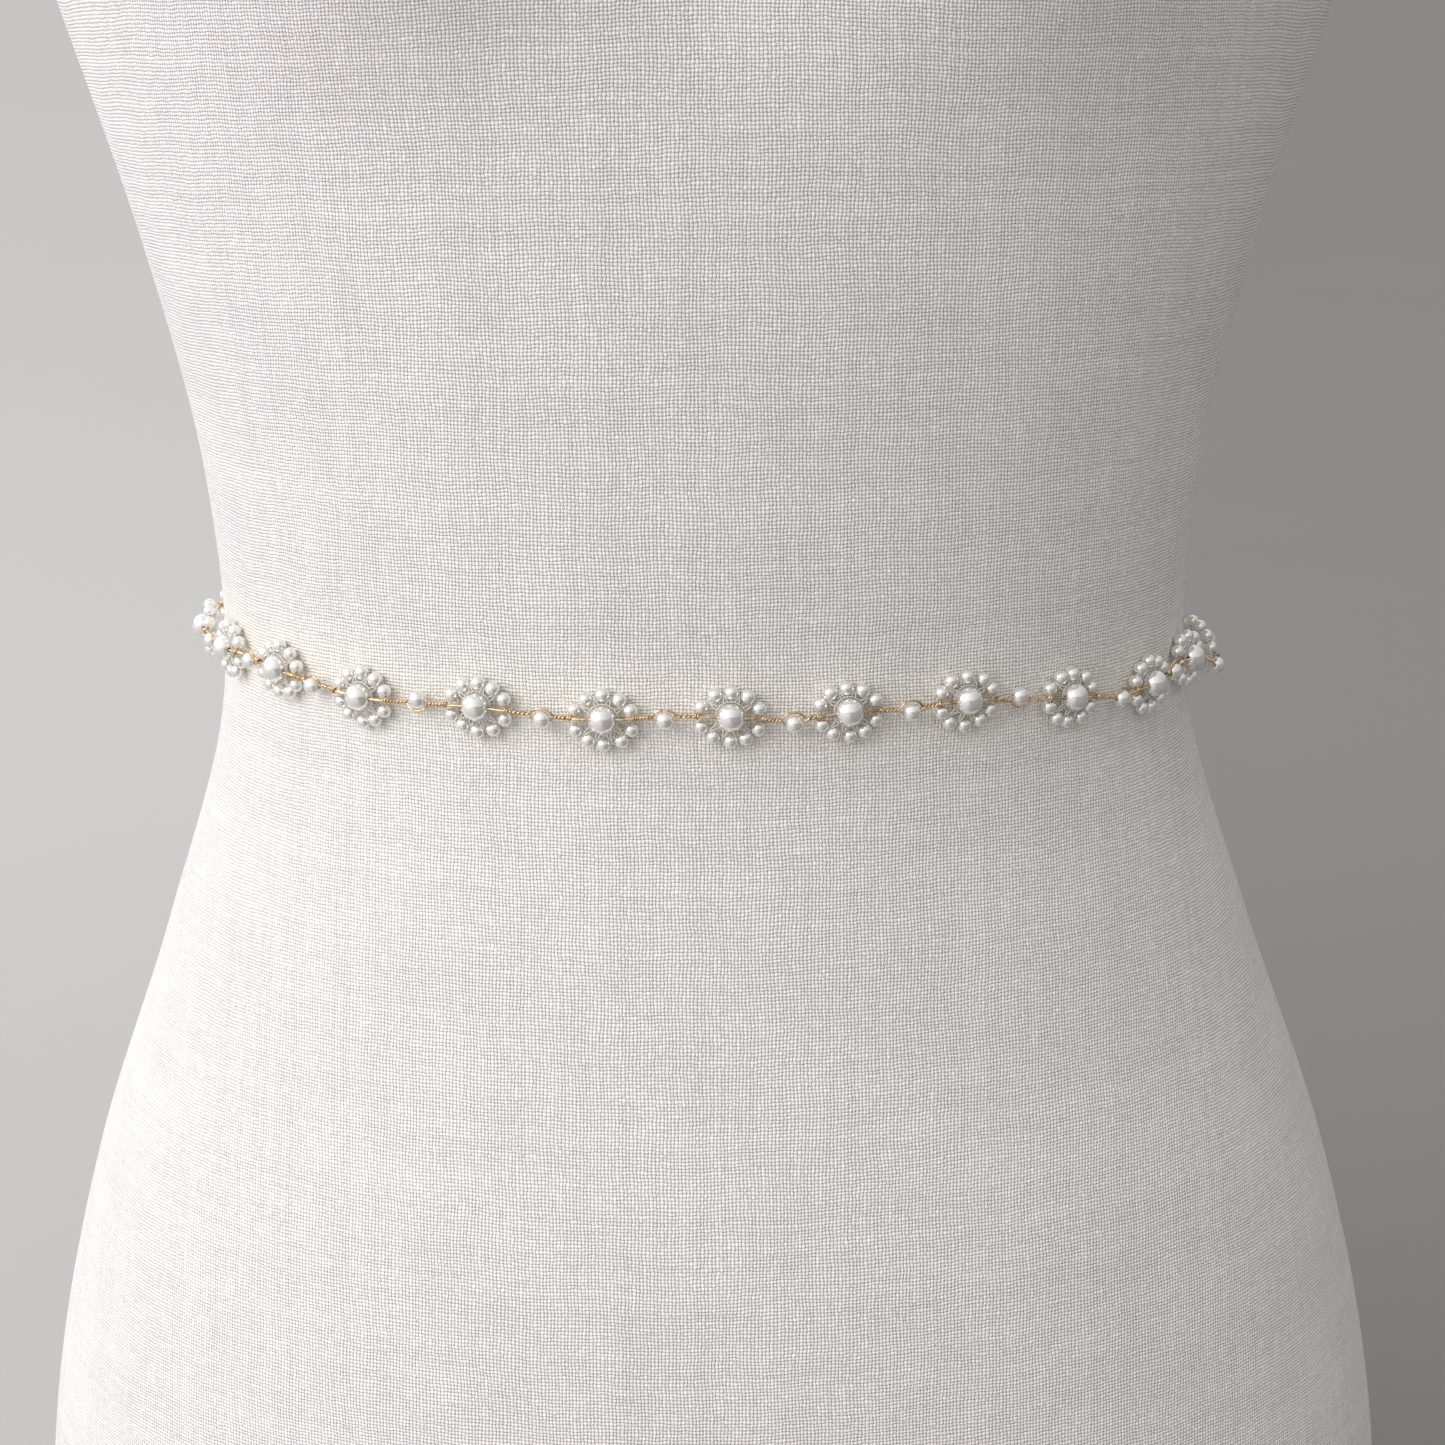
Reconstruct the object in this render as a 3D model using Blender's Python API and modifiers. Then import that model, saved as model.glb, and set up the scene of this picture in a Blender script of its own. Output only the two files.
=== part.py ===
"""A bridal belt of pearl flowers on twisted wire, worn on a limbless canvas dress form.

Metres, +Z up. The form stands on the plane Z = 0 and its front faces -Y. The belt is a
continuous twisted wire, threaded with drilled flowers and drilled spacer pearls, that
closes at the back with a hook and an eye.
"""

import math

import bmesh
import bpy
import numpy as np
from mathutils import Matrix, Vector

MM = 0.001

# The dress form: heights are above the waist, which stands this high off the floor.
WAIST_HEIGHT = 0.342
BOARD_THICKNESS = 0.012
BOARD_INSET = 0.006
SEAM_GAP = 0.0003
HEM_ROUNDING = 0.004
ARM_PLATE_X = 0.171
ARM_PLATE_FROM = 0.200
NECK_CAP_RADIUS = 0.052
NECK_CAP_THICKNESS = 0.010
NECK_CAP_ROUNDING = 0.003
NECK_CAP_SIDES = 24

# One row for each level of the form, in millimetres: height above the waist, half width,
# depth to the front, depth to the back, and the squareness of the section's outline.
LEVEL, HALF_WIDTH, FRONT, BACK, SQUARENESS = range(5)
FORM_SECTIONS = np.array(
    [
        (-330, 184.7, 112, 119, 2.25),
        (-265, 188.7, 119, 126, 2.25),
        (-195, 183.7, 119, 124, 2.20),
        (-125, 167.6, 113, 110, 2.15),
        (-60, 144.6, 101, 95, 2.10),
        (0, 127, 93, 90, 2.05),
        (60, 128, 95, 97, 2.10),
        (115, 139, 100, 106, 2.15),
        (165, 153, 104, 112, 2.20),
        (215, 168, 104, 113, 2.30),
        (270, 183, 97, 110, 2.40),
        (325, 184, 83, 100, 2.40),
        (352, 172, 72, 92, 2.30),
        (372, 138, 62, 85, 2.10),
        (392, 92, 55, 76, 2.00),
        (412, 64, 53, 68, 2.00),
        (455, 57, 52, 62, 2.00),
    ],
    float,
)

# The bust is a soft mound on each side of the front.
BUST_LEVEL = 0.205
BUST_OUT = 0.022
BUST_FROM_CENTRE = 0.080
BUST_WIDTH = 0.046
BUST_ABOVE = 0.062
BUST_BELOW = 0.040

# How finely the form's skin is divided: level from, level to, rings.
SKIN_SPANS = (
    (-0.326, -0.060, 7),
    (-0.060, 0.060, 7),
    (0.060, 0.215, 7),
    (0.215, 0.352, 5),
    (0.352, 0.412, 4),
    (0.412, 0.455, 1),
)
SKIN_SEGMENTS = 32

# The belt. Lengths along it are measured from the centre front, positive towards +X.
BELT_LEVEL = 0.0148
BELT_TILT = -0.026
FLOWERS = 24
FLOWERS_LEFT_OF_FRONT = 12
FLOWERS_ON_A_STRETCH = 3
FLOWER_PITCH = 0.0292
FRONT_FLOWER_AT = 0.0046
SKIN_CLEARANCE = 0.00045

# The belt is made by hand, so its flowers and pearls stray from even places. One row for
# each of twelve flowers from the left side round the front, in millimetres: the flower's
# slip along the wire and its rise above the belt's plane, and the same for the spacer
# pearl after it, from midway between its neighbours. The back repeats the rows.
SLIP, RISE, SPACER_SLIP, SPACER_RISE = range(4)
STRAY = np.array(
    [
        (-1.0, 0.3, 0.0, -1.0),
        (1.2, 1.3, 1.2, -0.6),
        (-1.2, 1.5, -0.9, -1.0),
        (-2.1, -0.8, 0.5, 0.8),
        (0.2, 0.6, 0.8, -1.3),
        (1.4, -0.4, -0.4, -0.3),
        (1.8, 1.0, 0.9, -2.2),
        (0.2, 1.9, 0.4, -1.6),
        (0.4, 3.0, -1.0, 0.6),
        (1.3, 0.6, 1.6, -1.8),
        (2.5, -1.0, -0.3, -0.5),
        (-2.5, 1.3, 0.3, -1.3),
    ]
)
STRAY_FROM_FLOWER = 6

# The belt is a loose fit, so on the form's sides it stands off the canvas and hangs a
# little lower. One row for each side: the angle where it is loosest and the spread, in
# degrees, and how far it stands off and hangs down there, in millimetres.
LOOSE_AT, LOOSE_SPREAD, LOOSE_OUT, LOOSE_DOWN = range(4)
LOOSENESS = np.array(
    [
        (-95, 15, 3.0, 0.5),
        (82, 6.5, 5.6, 4.8),
    ],
    float,
)

CENTRE_PEARL_RADIUS = 0.00315
PETAL_RADIUS = 0.0016
SPACER_RADIUS = 0.0021
STRAND_RADIUS = 0.0002
TWIST_RADIUS = 0.0004
THREAD_RADIUS = 0.0002
BORE_RADIUS = STRAND_RADIUS + 0.0003
PEARL_SIDES = 8
PEARL_ARC_POINTS = 4

PETALS = 10
RING_HALF_WIDTH = 0.0071
RING_HALF_HEIGHT = 0.0058
RING_HEIGHT = 0.0020
RING_DROP = 0.0004
# Angles round the ring of the three petals of one quarter, from the wire upwards.
PETAL_ANGLES = (24.0, 57.0, 90.0)
# Each of the two thread spokes ends inside the centre pearl, this far from its middle.
SPOKE_END = 0.00225

WIRE_HEIGHT_AT_FLOWER = CENTRE_PEARL_RADIUS + SKIN_CLEARANCE
WIRE_HEIGHT_AT_SPACER = 0.0031
# Where the two strands lie apart and where they are twisted, from a flower's centre.
FLOWER_STRANDS_APART = 0.0074
FLOWER_STRANDS_TWISTED = 0.0082
# The same from a spacer's centre. Only one strand goes through a spacer, which therefore
# lies beside the belt's line.
SPACER_STRANDS_APART = 0.0022
SPACER_STRANDS_TWISTED = 0.0034
# Only one strand goes through a spacer pearl, so the pearl sits to one side of the wire.
SPACER_OFF_WIRE = 0.0009

CLASP_WIRE_HEIGHT = 0.0026
CLASP_TAIL = 0.0095
EYE_RADIUS = 0.0024
HOOK_RADIUS = 0.0011
HOOK_RISE = 0.0016
HOOK_RETURN = 0.0012

COLOURS = {
    "canvas": ((0.84, 0.82, 0.80), 0.9, 0.0),
    "wood": ((0.62, 0.47, 0.31), 0.6, 0.0),
    "pearl": ((0.93, 0.92, 0.89), 0.2, 0.0),
    "gold_wire": ((0.83, 0.62, 0.35), 0.3, 1.0),
}


def clear_scene():
    for thing in list(bpy.data.objects):
        bpy.data.objects.remove(thing, do_unlink=True)


def material(name):
    made = bpy.data.materials.get(name)
    if made:
        return made
    colour, roughness, metallic = COLOURS[name]
    made = bpy.data.materials.new(name)
    made.use_nodes = True
    shader = made.node_tree.nodes["Principled BSDF"]
    shader.inputs["Base Color"].default_value = (*colour, 1.0)
    shader.inputs["Roughness"].default_value = roughness
    shader.inputs["Metallic"].default_value = metallic
    return made


def add_object(name, data, collection, material_name):
    thing = bpy.data.objects.new(name, data)
    collection.objects.link(thing)
    if not data.materials:
        data.materials.append(material(material_name))
    return thing


def helper_object(name, data):
    """An object that only lends its shape to another."""
    thing = bpy.data.objects.new(name, data)
    bpy.context.scene.collection.objects.link(thing)
    return thing


def mesh_of(thing):
    """The thing's evaluated shape as a mesh of its own; the thing itself is removed."""
    bpy.context.view_layer.update()
    evaluated = thing.evaluated_get(bpy.context.evaluated_depsgraph_get())
    mesh = bpy.data.meshes.new_from_object(evaluated)
    mesh.transform(thing.matrix_world)
    bpy.data.objects.remove(thing, do_unlink=True)
    shape = bmesh.new()
    shape.from_mesh(mesh)
    bmesh.ops.remove_doubles(shape, verts=shape.verts, dist=0.01 * MM)
    shape.to_mesh(mesh)
    shape.free()
    return mesh


# The form's surface


def smooth_through(knots, values, at):
    """The values at these places, on a smooth curve through the knots."""
    slopes = np.gradient(values, knots)
    at = np.clip(at, knots[0], knots[-1])
    knot = np.clip(np.searchsorted(knots, at, side="right") - 1, 0, len(knots) - 2)
    step = knots[knot + 1] - knots[knot]
    t = (at - knots[knot]) / step
    return (
        (1 + 2 * t) * (1 - t) ** 2 * values[knot]
        + t * (1 - t) ** 2 * step * slopes[knot]
        + t**2 * (3 - 2 * t) * values[knot + 1]
        + t**2 * (t - 1) * step * slopes[knot + 1]
    )


def section(column, level):
    """A column of the form's table at these levels."""
    return smooth_through(FORM_SECTIONS[:, LEVEL] * MM, FORM_SECTIONS[:, column], level)


def signed_power(value, power):
    return np.sign(value) * np.abs(value) ** power


def form_surface(angle, level):
    """Points on the form. The angle runs round it from the centre front towards +X."""
    angle, level = np.broadcast_arrays(np.asarray(angle, float), np.asarray(level, float))
    side, front = np.sin(angle), np.cos(angle)
    power = 2 / section(SQUARENESS, level)
    x = section(HALF_WIDTH, level) * MM * signed_power(side, power)
    depth = np.where(front >= 0, section(FRONT, level), section(BACK, level)) * MM
    y = -depth * signed_power(front, power)
    spread = np.where(level > BUST_LEVEL, BUST_ABOVE, BUST_BELOW)
    across = (np.abs(x) - BUST_FROM_CENTRE) / BUST_WIDTH
    mound = BUST_OUT * np.exp(-(across**2) - ((level - BUST_LEVEL) / spread) ** 2)
    y = y - mound * np.clip(front, 0, 1)
    plate = np.where(level > ARM_PLATE_FROM, ARM_PLATE_X, 1.0)
    x = np.clip(x, -plate, plate)
    return np.stack([x, y, level + WAIST_HEIGHT], axis=-1)


def skin_levels():
    levels = [np.linspace(low, high, count, endpoint=False) for low, high, count in SKIN_SPANS]
    return np.append(np.concatenate(levels), SKIN_SPANS[-1][1])


def ring_of_skin(level, inset=0.0):
    angles = np.arange(SKIN_SEGMENTS) * 2 * math.pi / SKIN_SEGMENTS
    points = form_surface(angles, level)
    middle = points.mean(axis=0)
    reach = np.linalg.norm(points - middle, axis=1, keepdims=True)
    return middle + (points - middle) * (1 - inset / reach)


def build_torso(collection):
    hem = -WAIST_HEIGHT + BOARD_THICKNESS + SEAM_GAP
    first_ring = ring_of_skin(SKIN_SPANS[0][0], inset=HEM_ROUNDING)
    first_ring[:, 2] = hem + WAIST_HEIGHT
    rings = [first_ring] + [ring_of_skin(level) for level in skin_levels()]
    shape = bmesh.new()
    loops = [[shape.verts.new(point) for point in ring] for ring in rings]
    for lower, upper in zip(loops, loops[1:]):
        for i in range(SKIN_SEGMENTS):
            j = (i + 1) % SKIN_SEGMENTS
            shape.faces.new((lower[i], lower[j], upper[j], upper[i]))
    shape.faces.new(loops[0][::-1])
    shape.faces.new(loops[-1])
    bmesh.ops.recalc_face_normals(shape, faces=shape.faces)
    mesh = bpy.data.meshes.new("form_torso")
    shape.to_mesh(mesh)
    shape.free()
    add_object("form_torso", mesh, collection, "canvas")
    mesh.shade_smooth()
    mesh.set_sharp_from_angle(angle=math.radians(50))


def build_base_board(collection):
    """The board that closes the form below, a little inside the canvas."""
    outline = ring_of_skin(SKIN_SPANS[0][0], inset=BOARD_INSET)
    curve = bpy.data.curves.new("form_base_board", "CURVE")
    curve.dimensions = "2D"
    curve.fill_mode = "BOTH"
    curve.extrude = BOARD_THICKNESS / 2
    spline = curve.splines.new("POLY")
    spline.points.add(len(outline) - 1)
    for point, place in zip(spline.points, outline):
        point.co = (place[0], place[1], 0.0, 1.0)
    spline.use_cyclic_u = True
    board = add_object("form_base_board", curve, collection, "wood")
    board.location.z = BOARD_THICKNESS / 2


def build_neck_cap(collection):
    """A turned disc on the neck's round top."""
    top, front, back = form_surface([0.0, 0.0, math.pi], FORM_SECTIONS[-1, LEVEL] * MM)
    edge = NECK_CAP_RADIUS - NECK_CAP_ROUNDING
    shoulder = NECK_CAP_THICKNESS - NECK_CAP_ROUNDING
    profile = [
        (0.0, 0.0, 0.0),
        (NECK_CAP_RADIUS, 0.0, 0.0),
        (NECK_CAP_RADIUS, 0.0, shoulder),
        (edge, 0.0, NECK_CAP_THICKNESS),
        (0.0, 0.0, NECK_CAP_THICKNESS),
    ]
    mesh = bpy.data.meshes.new("form_neck_cap")
    mesh.from_pydata(profile, [(i, i + 1) for i in range(len(profile) - 1)], [])
    cap = add_object("form_neck_cap", mesh, collection, "wood")
    screw = cap.modifiers.new("turn", "SCREW")
    screw.steps = screw.render_steps = NECK_CAP_SIDES
    screw.use_merge_vertices = True
    screw.merge_threshold = 0.01 * MM
    screw.use_normal_calculate = True
    cap.location = (0.0, (front[1] + back[1]) / 2, top[2] + SEAM_GAP)


# The belt's route


def stray(number, column):
    row = (number - STRAY_FROM_FLOWER) % len(STRAY)
    return STRAY[row, column] * MM


def flower_at(number):
    """Where a flower's centre lies along the belt; flowers are numbered from 0."""
    steps = number - FLOWERS_LEFT_OF_FRONT
    return FRONT_FLOWER_AT + steps * FLOWER_PITCH + stray(number, SLIP)


def spacer_at(number):
    """Where a spacer pearl's centre lies along the belt, after the flower of its number."""
    middle = (flower_at(number) + flower_at(number + 1)) / 2
    return middle + stray(number, SPACER_SLIP)


def spacer_shift(number):
    """How far a spacer pearl lies above the wire, or below it as a minus."""
    return math.copysign(SPACER_OFF_WIRE, stray(number, SPACER_RISE))


def skin_normal(angle, level):
    small = 1e-4
    across = form_surface(angle + small, level) - form_surface(angle - small, level)
    upward = form_surface(angle, level + small) - form_surface(angle, level - small)
    normal = np.cross(across, upward)
    return normal / np.linalg.norm(normal, axis=-1, keepdims=True)


def looseness(angle, column):
    """How far the belt stands off the form, or hangs down, at these angles."""
    centre, spread = np.radians(LOOSENESS[:, [LOOSE_AT, LOOSE_SPREAD]]).T
    away = (np.asarray(angle)[..., None] - centre) / spread
    return (LOOSENESS[:, column] * MM * np.exp(-(away**2))).sum(axis=-1)


def belt_level(angle, rise=0.0):
    """The height above the waist of the belt at these angles round the form."""
    hung = BELT_LEVEL + rise - looseness(angle, LOOSE_DOWN)
    level = hung
    for _ in range(3):
        level = hung + BELT_TILT * form_surface(angle, level)[..., 0]
    return level


class Route:
    """The belt's line round the form, by length from the centre front."""

    def __init__(self):
        angle = np.linspace(-math.pi, math.pi, 2881)
        level = belt_level(angle)
        height = looseness(angle, LOOSE_OUT) + WIRE_HEIGHT_AT_FLOWER
        points = form_surface(angle, level) + skin_normal(angle, level) * height[:, None]
        steps = np.linalg.norm(np.diff(points, axis=0), axis=1)
        length = np.concatenate([[0.0], np.cumsum(steps)])
        self.length = length[-1]
        self.along = length - np.interp(0.0, angle, length)
        self.angle = angle
        # The wire's rise above the belt's plane, at each flower and at each spacer.
        flowers = np.array([flower_at(number) for number in range(FLOWERS)])
        rises = np.array([stray(number, RISE) for number in range(FLOWERS)])
        spacers = np.array([spacer_at(number) for number in range(FLOWERS - 1)])
        pearls = np.array([stray(number, SPACER_RISE) for number in range(FLOWERS - 1)])
        shifts = np.array([spacer_shift(number) for number in range(FLOWERS - 1)])
        dips = smooth_through(flowers, rises, spacers) + pearls - shifts
        self.knots = np.insert(flowers, range(1, FLOWERS), spacers)
        self.rises = np.insert(rises, range(1, FLOWERS), dips)

    def base(self, at, shift=0.0):
        """The point that the belt's height is measured from here, and the skin's normal."""
        rise = smooth_through(self.knots, self.rises, at) + shift
        at = (at + self.length / 2) % self.length - self.length / 2
        angle = np.interp(at, self.along, self.angle)
        level = belt_level(angle, rise)
        normal = skin_normal(angle, level)
        return form_surface(angle, level) + normal * looseness(angle, LOOSE_OUT), normal

    def point(self, at, height, shift=0.0):
        place, normal = self.base(at, shift)
        return Vector(place + normal * height)

    def frame(self, at, height, shift=0.0):
        """A matrix whose X runs along the belt, Y into the form and Z up it."""
        step = 0.5 * MM
        along = self.point(at + step, height, shift) - self.point(at - step, height, shift)
        along.normalize()
        inward = -Vector(self.base(at, shift)[1])
        inward = (inward - along * inward.dot(along)).normalized()
        matrix = Matrix((along, inward, along.cross(inward))).transposed().to_4x4()
        matrix.translation = self.point(at, height, shift)
        return matrix


# Pearls and flowers


def drilled_pearl(name, radius):
    """A round bead with its hole along X, turned from a closed profile."""
    half_angle = math.asin(BORE_RADIUS / radius)
    angles = np.linspace(half_angle, math.pi - half_angle, PEARL_ARC_POINTS)
    profile = [(-radius * math.cos(a), 0.0, radius * math.sin(a)) for a in angles]
    edges = [(i, (i + 1) % PEARL_ARC_POINTS) for i in range(PEARL_ARC_POINTS)]
    mesh = bpy.data.meshes.new(name)
    mesh.from_pydata(profile, edges, [])
    pearl = helper_object(name, mesh)
    screw = pearl.modifiers.new("turn", "SCREW")
    screw.axis = "X"
    screw.steps = screw.render_steps = PEARL_SIDES
    screw.use_merge_vertices = True
    screw.merge_threshold = 0.01 * MM
    turned = mesh_of(pearl)
    face_outwards(turned)
    turned.shade_smooth()
    return turned


def face_outwards(mesh):
    shape = bmesh.new()
    shape.from_mesh(mesh)
    bmesh.ops.recalc_face_normals(shape, faces=shape.faces)
    shape.to_mesh(mesh)
    shape.free()


def petal_places():
    """Petal centres round the ring, in the flower's own X and Z, in order."""
    quarter = [math.radians(a) for a in PETAL_ANGLES]
    upper = quarter + [math.pi - a for a in reversed(quarter[:-1])]
    angles = upper + [a + math.pi for a in upper]
    return [
        Vector((RING_HALF_WIDTH * math.cos(a), 0.0, RING_HALF_HEIGHT * math.sin(a)))
        for a in angles
    ]


def petal_ring():
    """The petals and the thread that strings them, as one beaded ring."""
    centres = petal_places()
    points = []
    for i, centre in enumerate(centres):
        before, after = centres[i - 1], centres[(i + 1) % PETALS]
        along = (after - before).normalized()
        half = PETAL_RADIUS / 2
        wide = math.sqrt(PETAL_RADIUS**2 - half**2)
        points.append(((before + centre) / 2, THREAD_RADIUS))
        points.append((centre - along * half, wide))
        points.append((centre + along * half, wide))
    ring = helper_object("petal_ring", tube("petal_ring", points, cyclic=True))
    ring.location = (0.0, WIRE_HEIGHT_AT_FLOWER - RING_HEIGHT, -RING_DROP)
    return mesh_of(ring)


def tube(name, points, cyclic=False, sides=6):
    """A round tube through points, each with its own radius."""
    curve = bpy.data.curves.new(name, "CURVE")
    curve.dimensions = "3D"
    curve.bevel_depth = 1.0
    curve.bevel_resolution = sides // 2 - 2
    curve.use_fill_caps = not cyclic
    spline = curve.splines.new("POLY")
    spline.points.add(len(points) - 1)
    for knot, (place, radius) in zip(spline.points, points):
        knot.co = (*place, 1.0)
        knot.radius = radius
    spline.use_cyclic_u = cyclic
    return curve


def spoke(sign):
    """The thread that ties the ring to the centre pearl, above or below it."""
    ring = Vector((0.0, WIRE_HEIGHT_AT_FLOWER - RING_HEIGHT, -RING_DROP))
    outer = ring + Vector((0.0, 0.0, sign * (RING_HALF_HEIGHT - PETAL_RADIUS / 2)))
    inner = Vector((THREAD_RADIUS, 0.0, sign * SPOKE_END))
    curve = tube("spoke", [(outer, THREAD_RADIUS), (inner, THREAD_RADIUS)], sides=4)
    return mesh_of(helper_object("spoke", curve))


def joined(name, meshes):
    """One body made of overlapping meshes."""
    first, *others = [helper_object(name, mesh) for mesh in meshes]
    for other in others:
        union = first.modifiers.new("join", "BOOLEAN")
        union.operation = "UNION"
        union.solver = "EXACT"
        union.object = other
    whole = mesh_of(first)
    for other in others:
        bpy.data.objects.remove(other, do_unlink=True)
    whole.shade_smooth()
    return whole


def build_flowers(collection, route):
    centre = drilled_pearl("centre_pearl", CENTRE_PEARL_RADIUS)
    mesh = joined("pearl_flower", [centre, petal_ring(), spoke(1), spoke(-1)])
    for number in range(FLOWERS):
        flower = add_object(f"pearl_flower_{number + 1:02d}", mesh, collection, "pearl")
        flower.matrix_world = route.frame(flower_at(number), WIRE_HEIGHT_AT_FLOWER)


def build_spacers(collection, route):
    mesh = drilled_pearl("spacer_pearl", SPACER_RADIUS)
    for number in range(FLOWERS - 1):
        pearl = add_object(f"spacer_pearl_{number + 1:02d}", mesh, collection, "pearl")
        pearl.matrix_world = route.frame(
            spacer_at(number), WIRE_HEIGHT_AT_SPACER, spacer_shift(number)
        )


# The wire and its clasp


def wire_ends():
    """Where the wire ends along the belt: at the eye, before flower 0, and at the hook."""
    reach = FLOWER_STRANDS_TWISTED + CLASP_TAIL
    return flower_at(0) - reach, flower_at(FLOWERS - 1) + reach


def wire_height(at):
    """The wire's height over the skin: highest at the flowers, lowest at the spacers."""
    flowers = [flower_at(number) for number in range(FLOWERS)]
    middles = [spacer_at(number) for number in range(FLOWERS - 1)]
    first, last = wire_ends()
    knots = np.array(sorted([first, last] + flowers + middles))
    heights = np.full(len(knots), WIRE_HEIGHT_AT_SPACER)
    heights[1::2] = WIRE_HEIGHT_AT_FLOWER
    heights[[0, -1]] = CLASP_WIRE_HEIGHT
    return smooth_through(knots, heights, at)


def flower_wire(number):
    """Places along the wire through one flower, with the wire's shift and radius there."""
    steps = (
        (-FLOWER_STRANDS_TWISTED, TWIST_RADIUS),
        (-FLOWER_STRANDS_APART, STRAND_RADIUS),
        (-CENTRE_PEARL_RADIUS, STRAND_RADIUS),
        (CENTRE_PEARL_RADIUS, STRAND_RADIUS),
        (FLOWER_STRANDS_APART, STRAND_RADIUS),
        (FLOWER_STRANDS_TWISTED, TWIST_RADIUS),
    )
    return [(flower_at(number) + step, 0.0, radius) for step, radius in steps]


def spacer_wire(number, side):
    """The same through one half of a spacer, from its outside; side is -1 or +1."""
    at, shift = spacer_at(number), spacer_shift(number)
    return [
        (at + side * SPACER_STRANDS_TWISTED, 0.0, TWIST_RADIUS),
        (at + side * SPACER_STRANDS_APART, shift, STRAND_RADIUS),
        (at + side * SEAM_GAP / 2, shift, STRAND_RADIUS),
    ]


def wire_stretch(first, last):
    """The wire through some flowers, to the middle of the spacer pearls at both ends."""
    eye_end, hook_end = wire_ends()
    line = [(eye_end, 0.0, TWIST_RADIUS)] if first == 0 else spacer_wire(first - 1, 1)[::-1]
    for number in range(first, last + 1):
        line += flower_wire(number)
        if number < last:
            line += spacer_wire(number, -1)[:-1] + spacer_wire(number, 1)[-2::-1]
    line += [(hook_end, 0.0, TWIST_RADIUS)] if last == FLOWERS - 1 else spacer_wire(last, -1)
    return line


def build_wire(collection, route):
    for first in range(0, FLOWERS, FLOWERS_ON_A_STRETCH):
        line = wire_stretch(first, first + FLOWERS_ON_A_STRETCH - 1)
        points = [(route.point(at, wire_height(at), shift), radius) for at, shift, radius in line]
        name = f"twisted_wire_{first // FLOWERS_ON_A_STRETCH + 1}"
        add_object(name, tube(name, points, sides=4), collection, "gold_wire")


def build_clasp(collection, route):
    """A hook bent from the wire, caught over the rim of a round wire eye."""
    eye_end, hook_end = wire_ends()
    eye_at = eye_end + route.length - SEAM_GAP - TWIST_RADIUS - EYE_RADIUS
    bpy.ops.mesh.primitive_torus_add(
        major_radius=EYE_RADIUS,
        minor_radius=TWIST_RADIUS,
        major_segments=14,
        minor_segments=6,
    )
    eye = bpy.context.active_object
    eye.name = eye.data.name = "clasp_eye"
    eye.data.materials.append(material("gold_wire"))
    eye.data.shade_smooth()
    for holder in list(eye.users_collection):
        holder.objects.unlink(eye)
    collection.objects.link(eye)
    upright = Matrix.Rotation(math.pi / 2, 4, "X")
    eye.matrix_world = route.frame(eye_at, CLASP_WIRE_HEIGHT) @ upright

    rim_at = eye_at - EYE_RADIUS
    hook_top = CLASP_WIRE_HEIGHT + HOOK_RADIUS
    hook_bottom = CLASP_WIRE_HEIGHT - HOOK_RADIUS
    start = hook_end + SEAM_GAP
    line = [(start, CLASP_WIRE_HEIGHT), (start + HOOK_RISE, hook_top)]
    for turn in np.radians(np.linspace(90, -90, 7)):
        at = rim_at + HOOK_RADIUS * math.cos(turn)
        line.append((at, CLASP_WIRE_HEIGHT + HOOK_RADIUS * math.sin(turn)))
    line.append((rim_at - HOOK_RETURN, hook_bottom))
    points = [(route.point(at, height), TWIST_RADIUS) for at, height in line]
    add_object("clasp_hook", tube("clasp_hook", points), collection, "gold_wire")


def main():
    clear_scene()
    collection = bpy.data.collections.new("bridal_belt_on_dress_form")
    bpy.context.scene.collection.children.link(collection)
    build_torso(collection)
    build_base_board(collection)
    build_neck_cap(collection)
    route = Route()
    build_flowers(collection, route)
    build_spacers(collection, route)
    build_wire(collection, route)
    build_clasp(collection, route)


main()
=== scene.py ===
"""The looks of a pearl flower bridal belt on a limbless canvas dress form.

Metres, +Z up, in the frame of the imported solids. The form stands on Z = 0 and faces -Y.
"""

import math
import random

import bpy
import numpy as np
from mathutils import Matrix, Vector


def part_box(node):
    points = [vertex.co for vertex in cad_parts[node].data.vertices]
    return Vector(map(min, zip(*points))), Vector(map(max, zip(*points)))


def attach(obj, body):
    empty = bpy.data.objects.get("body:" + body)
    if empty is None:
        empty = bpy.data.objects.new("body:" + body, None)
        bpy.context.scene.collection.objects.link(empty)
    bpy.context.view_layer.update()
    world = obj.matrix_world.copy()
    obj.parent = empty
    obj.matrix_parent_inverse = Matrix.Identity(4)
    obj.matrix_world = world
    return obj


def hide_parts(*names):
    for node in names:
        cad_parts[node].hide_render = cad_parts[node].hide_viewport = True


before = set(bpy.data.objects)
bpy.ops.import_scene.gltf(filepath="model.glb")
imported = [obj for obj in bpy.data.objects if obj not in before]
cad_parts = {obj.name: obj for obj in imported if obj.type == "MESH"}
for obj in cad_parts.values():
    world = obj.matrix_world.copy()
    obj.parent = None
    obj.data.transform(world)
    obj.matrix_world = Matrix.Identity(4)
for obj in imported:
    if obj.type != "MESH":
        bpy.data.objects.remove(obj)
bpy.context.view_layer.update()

MM = 0.001
BODY = "root"
random.seed(7)

# The dress form, in the solids' own sizes: heights are above the waist.
WAIST_HEIGHT = 0.342
BOARD_THICKNESS = 0.012
BOARD_INSET = 0.006
BOARD_EDGE = 0.003
SEAM_GAP = 0.0003
HEM_ROUNDING = 0.004
NECK_ROUNDING = 0.003
ARM_PLATE_X = 0.171
ARM_PLATE_FROM = 0.200
ARM_PLATE_EDGE = 0.003
NECK_CAP_RADIUS = 0.052
NECK_CAP_THICKNESS = 0.010
NECK_CAP_ROUNDING = 0.003

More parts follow.
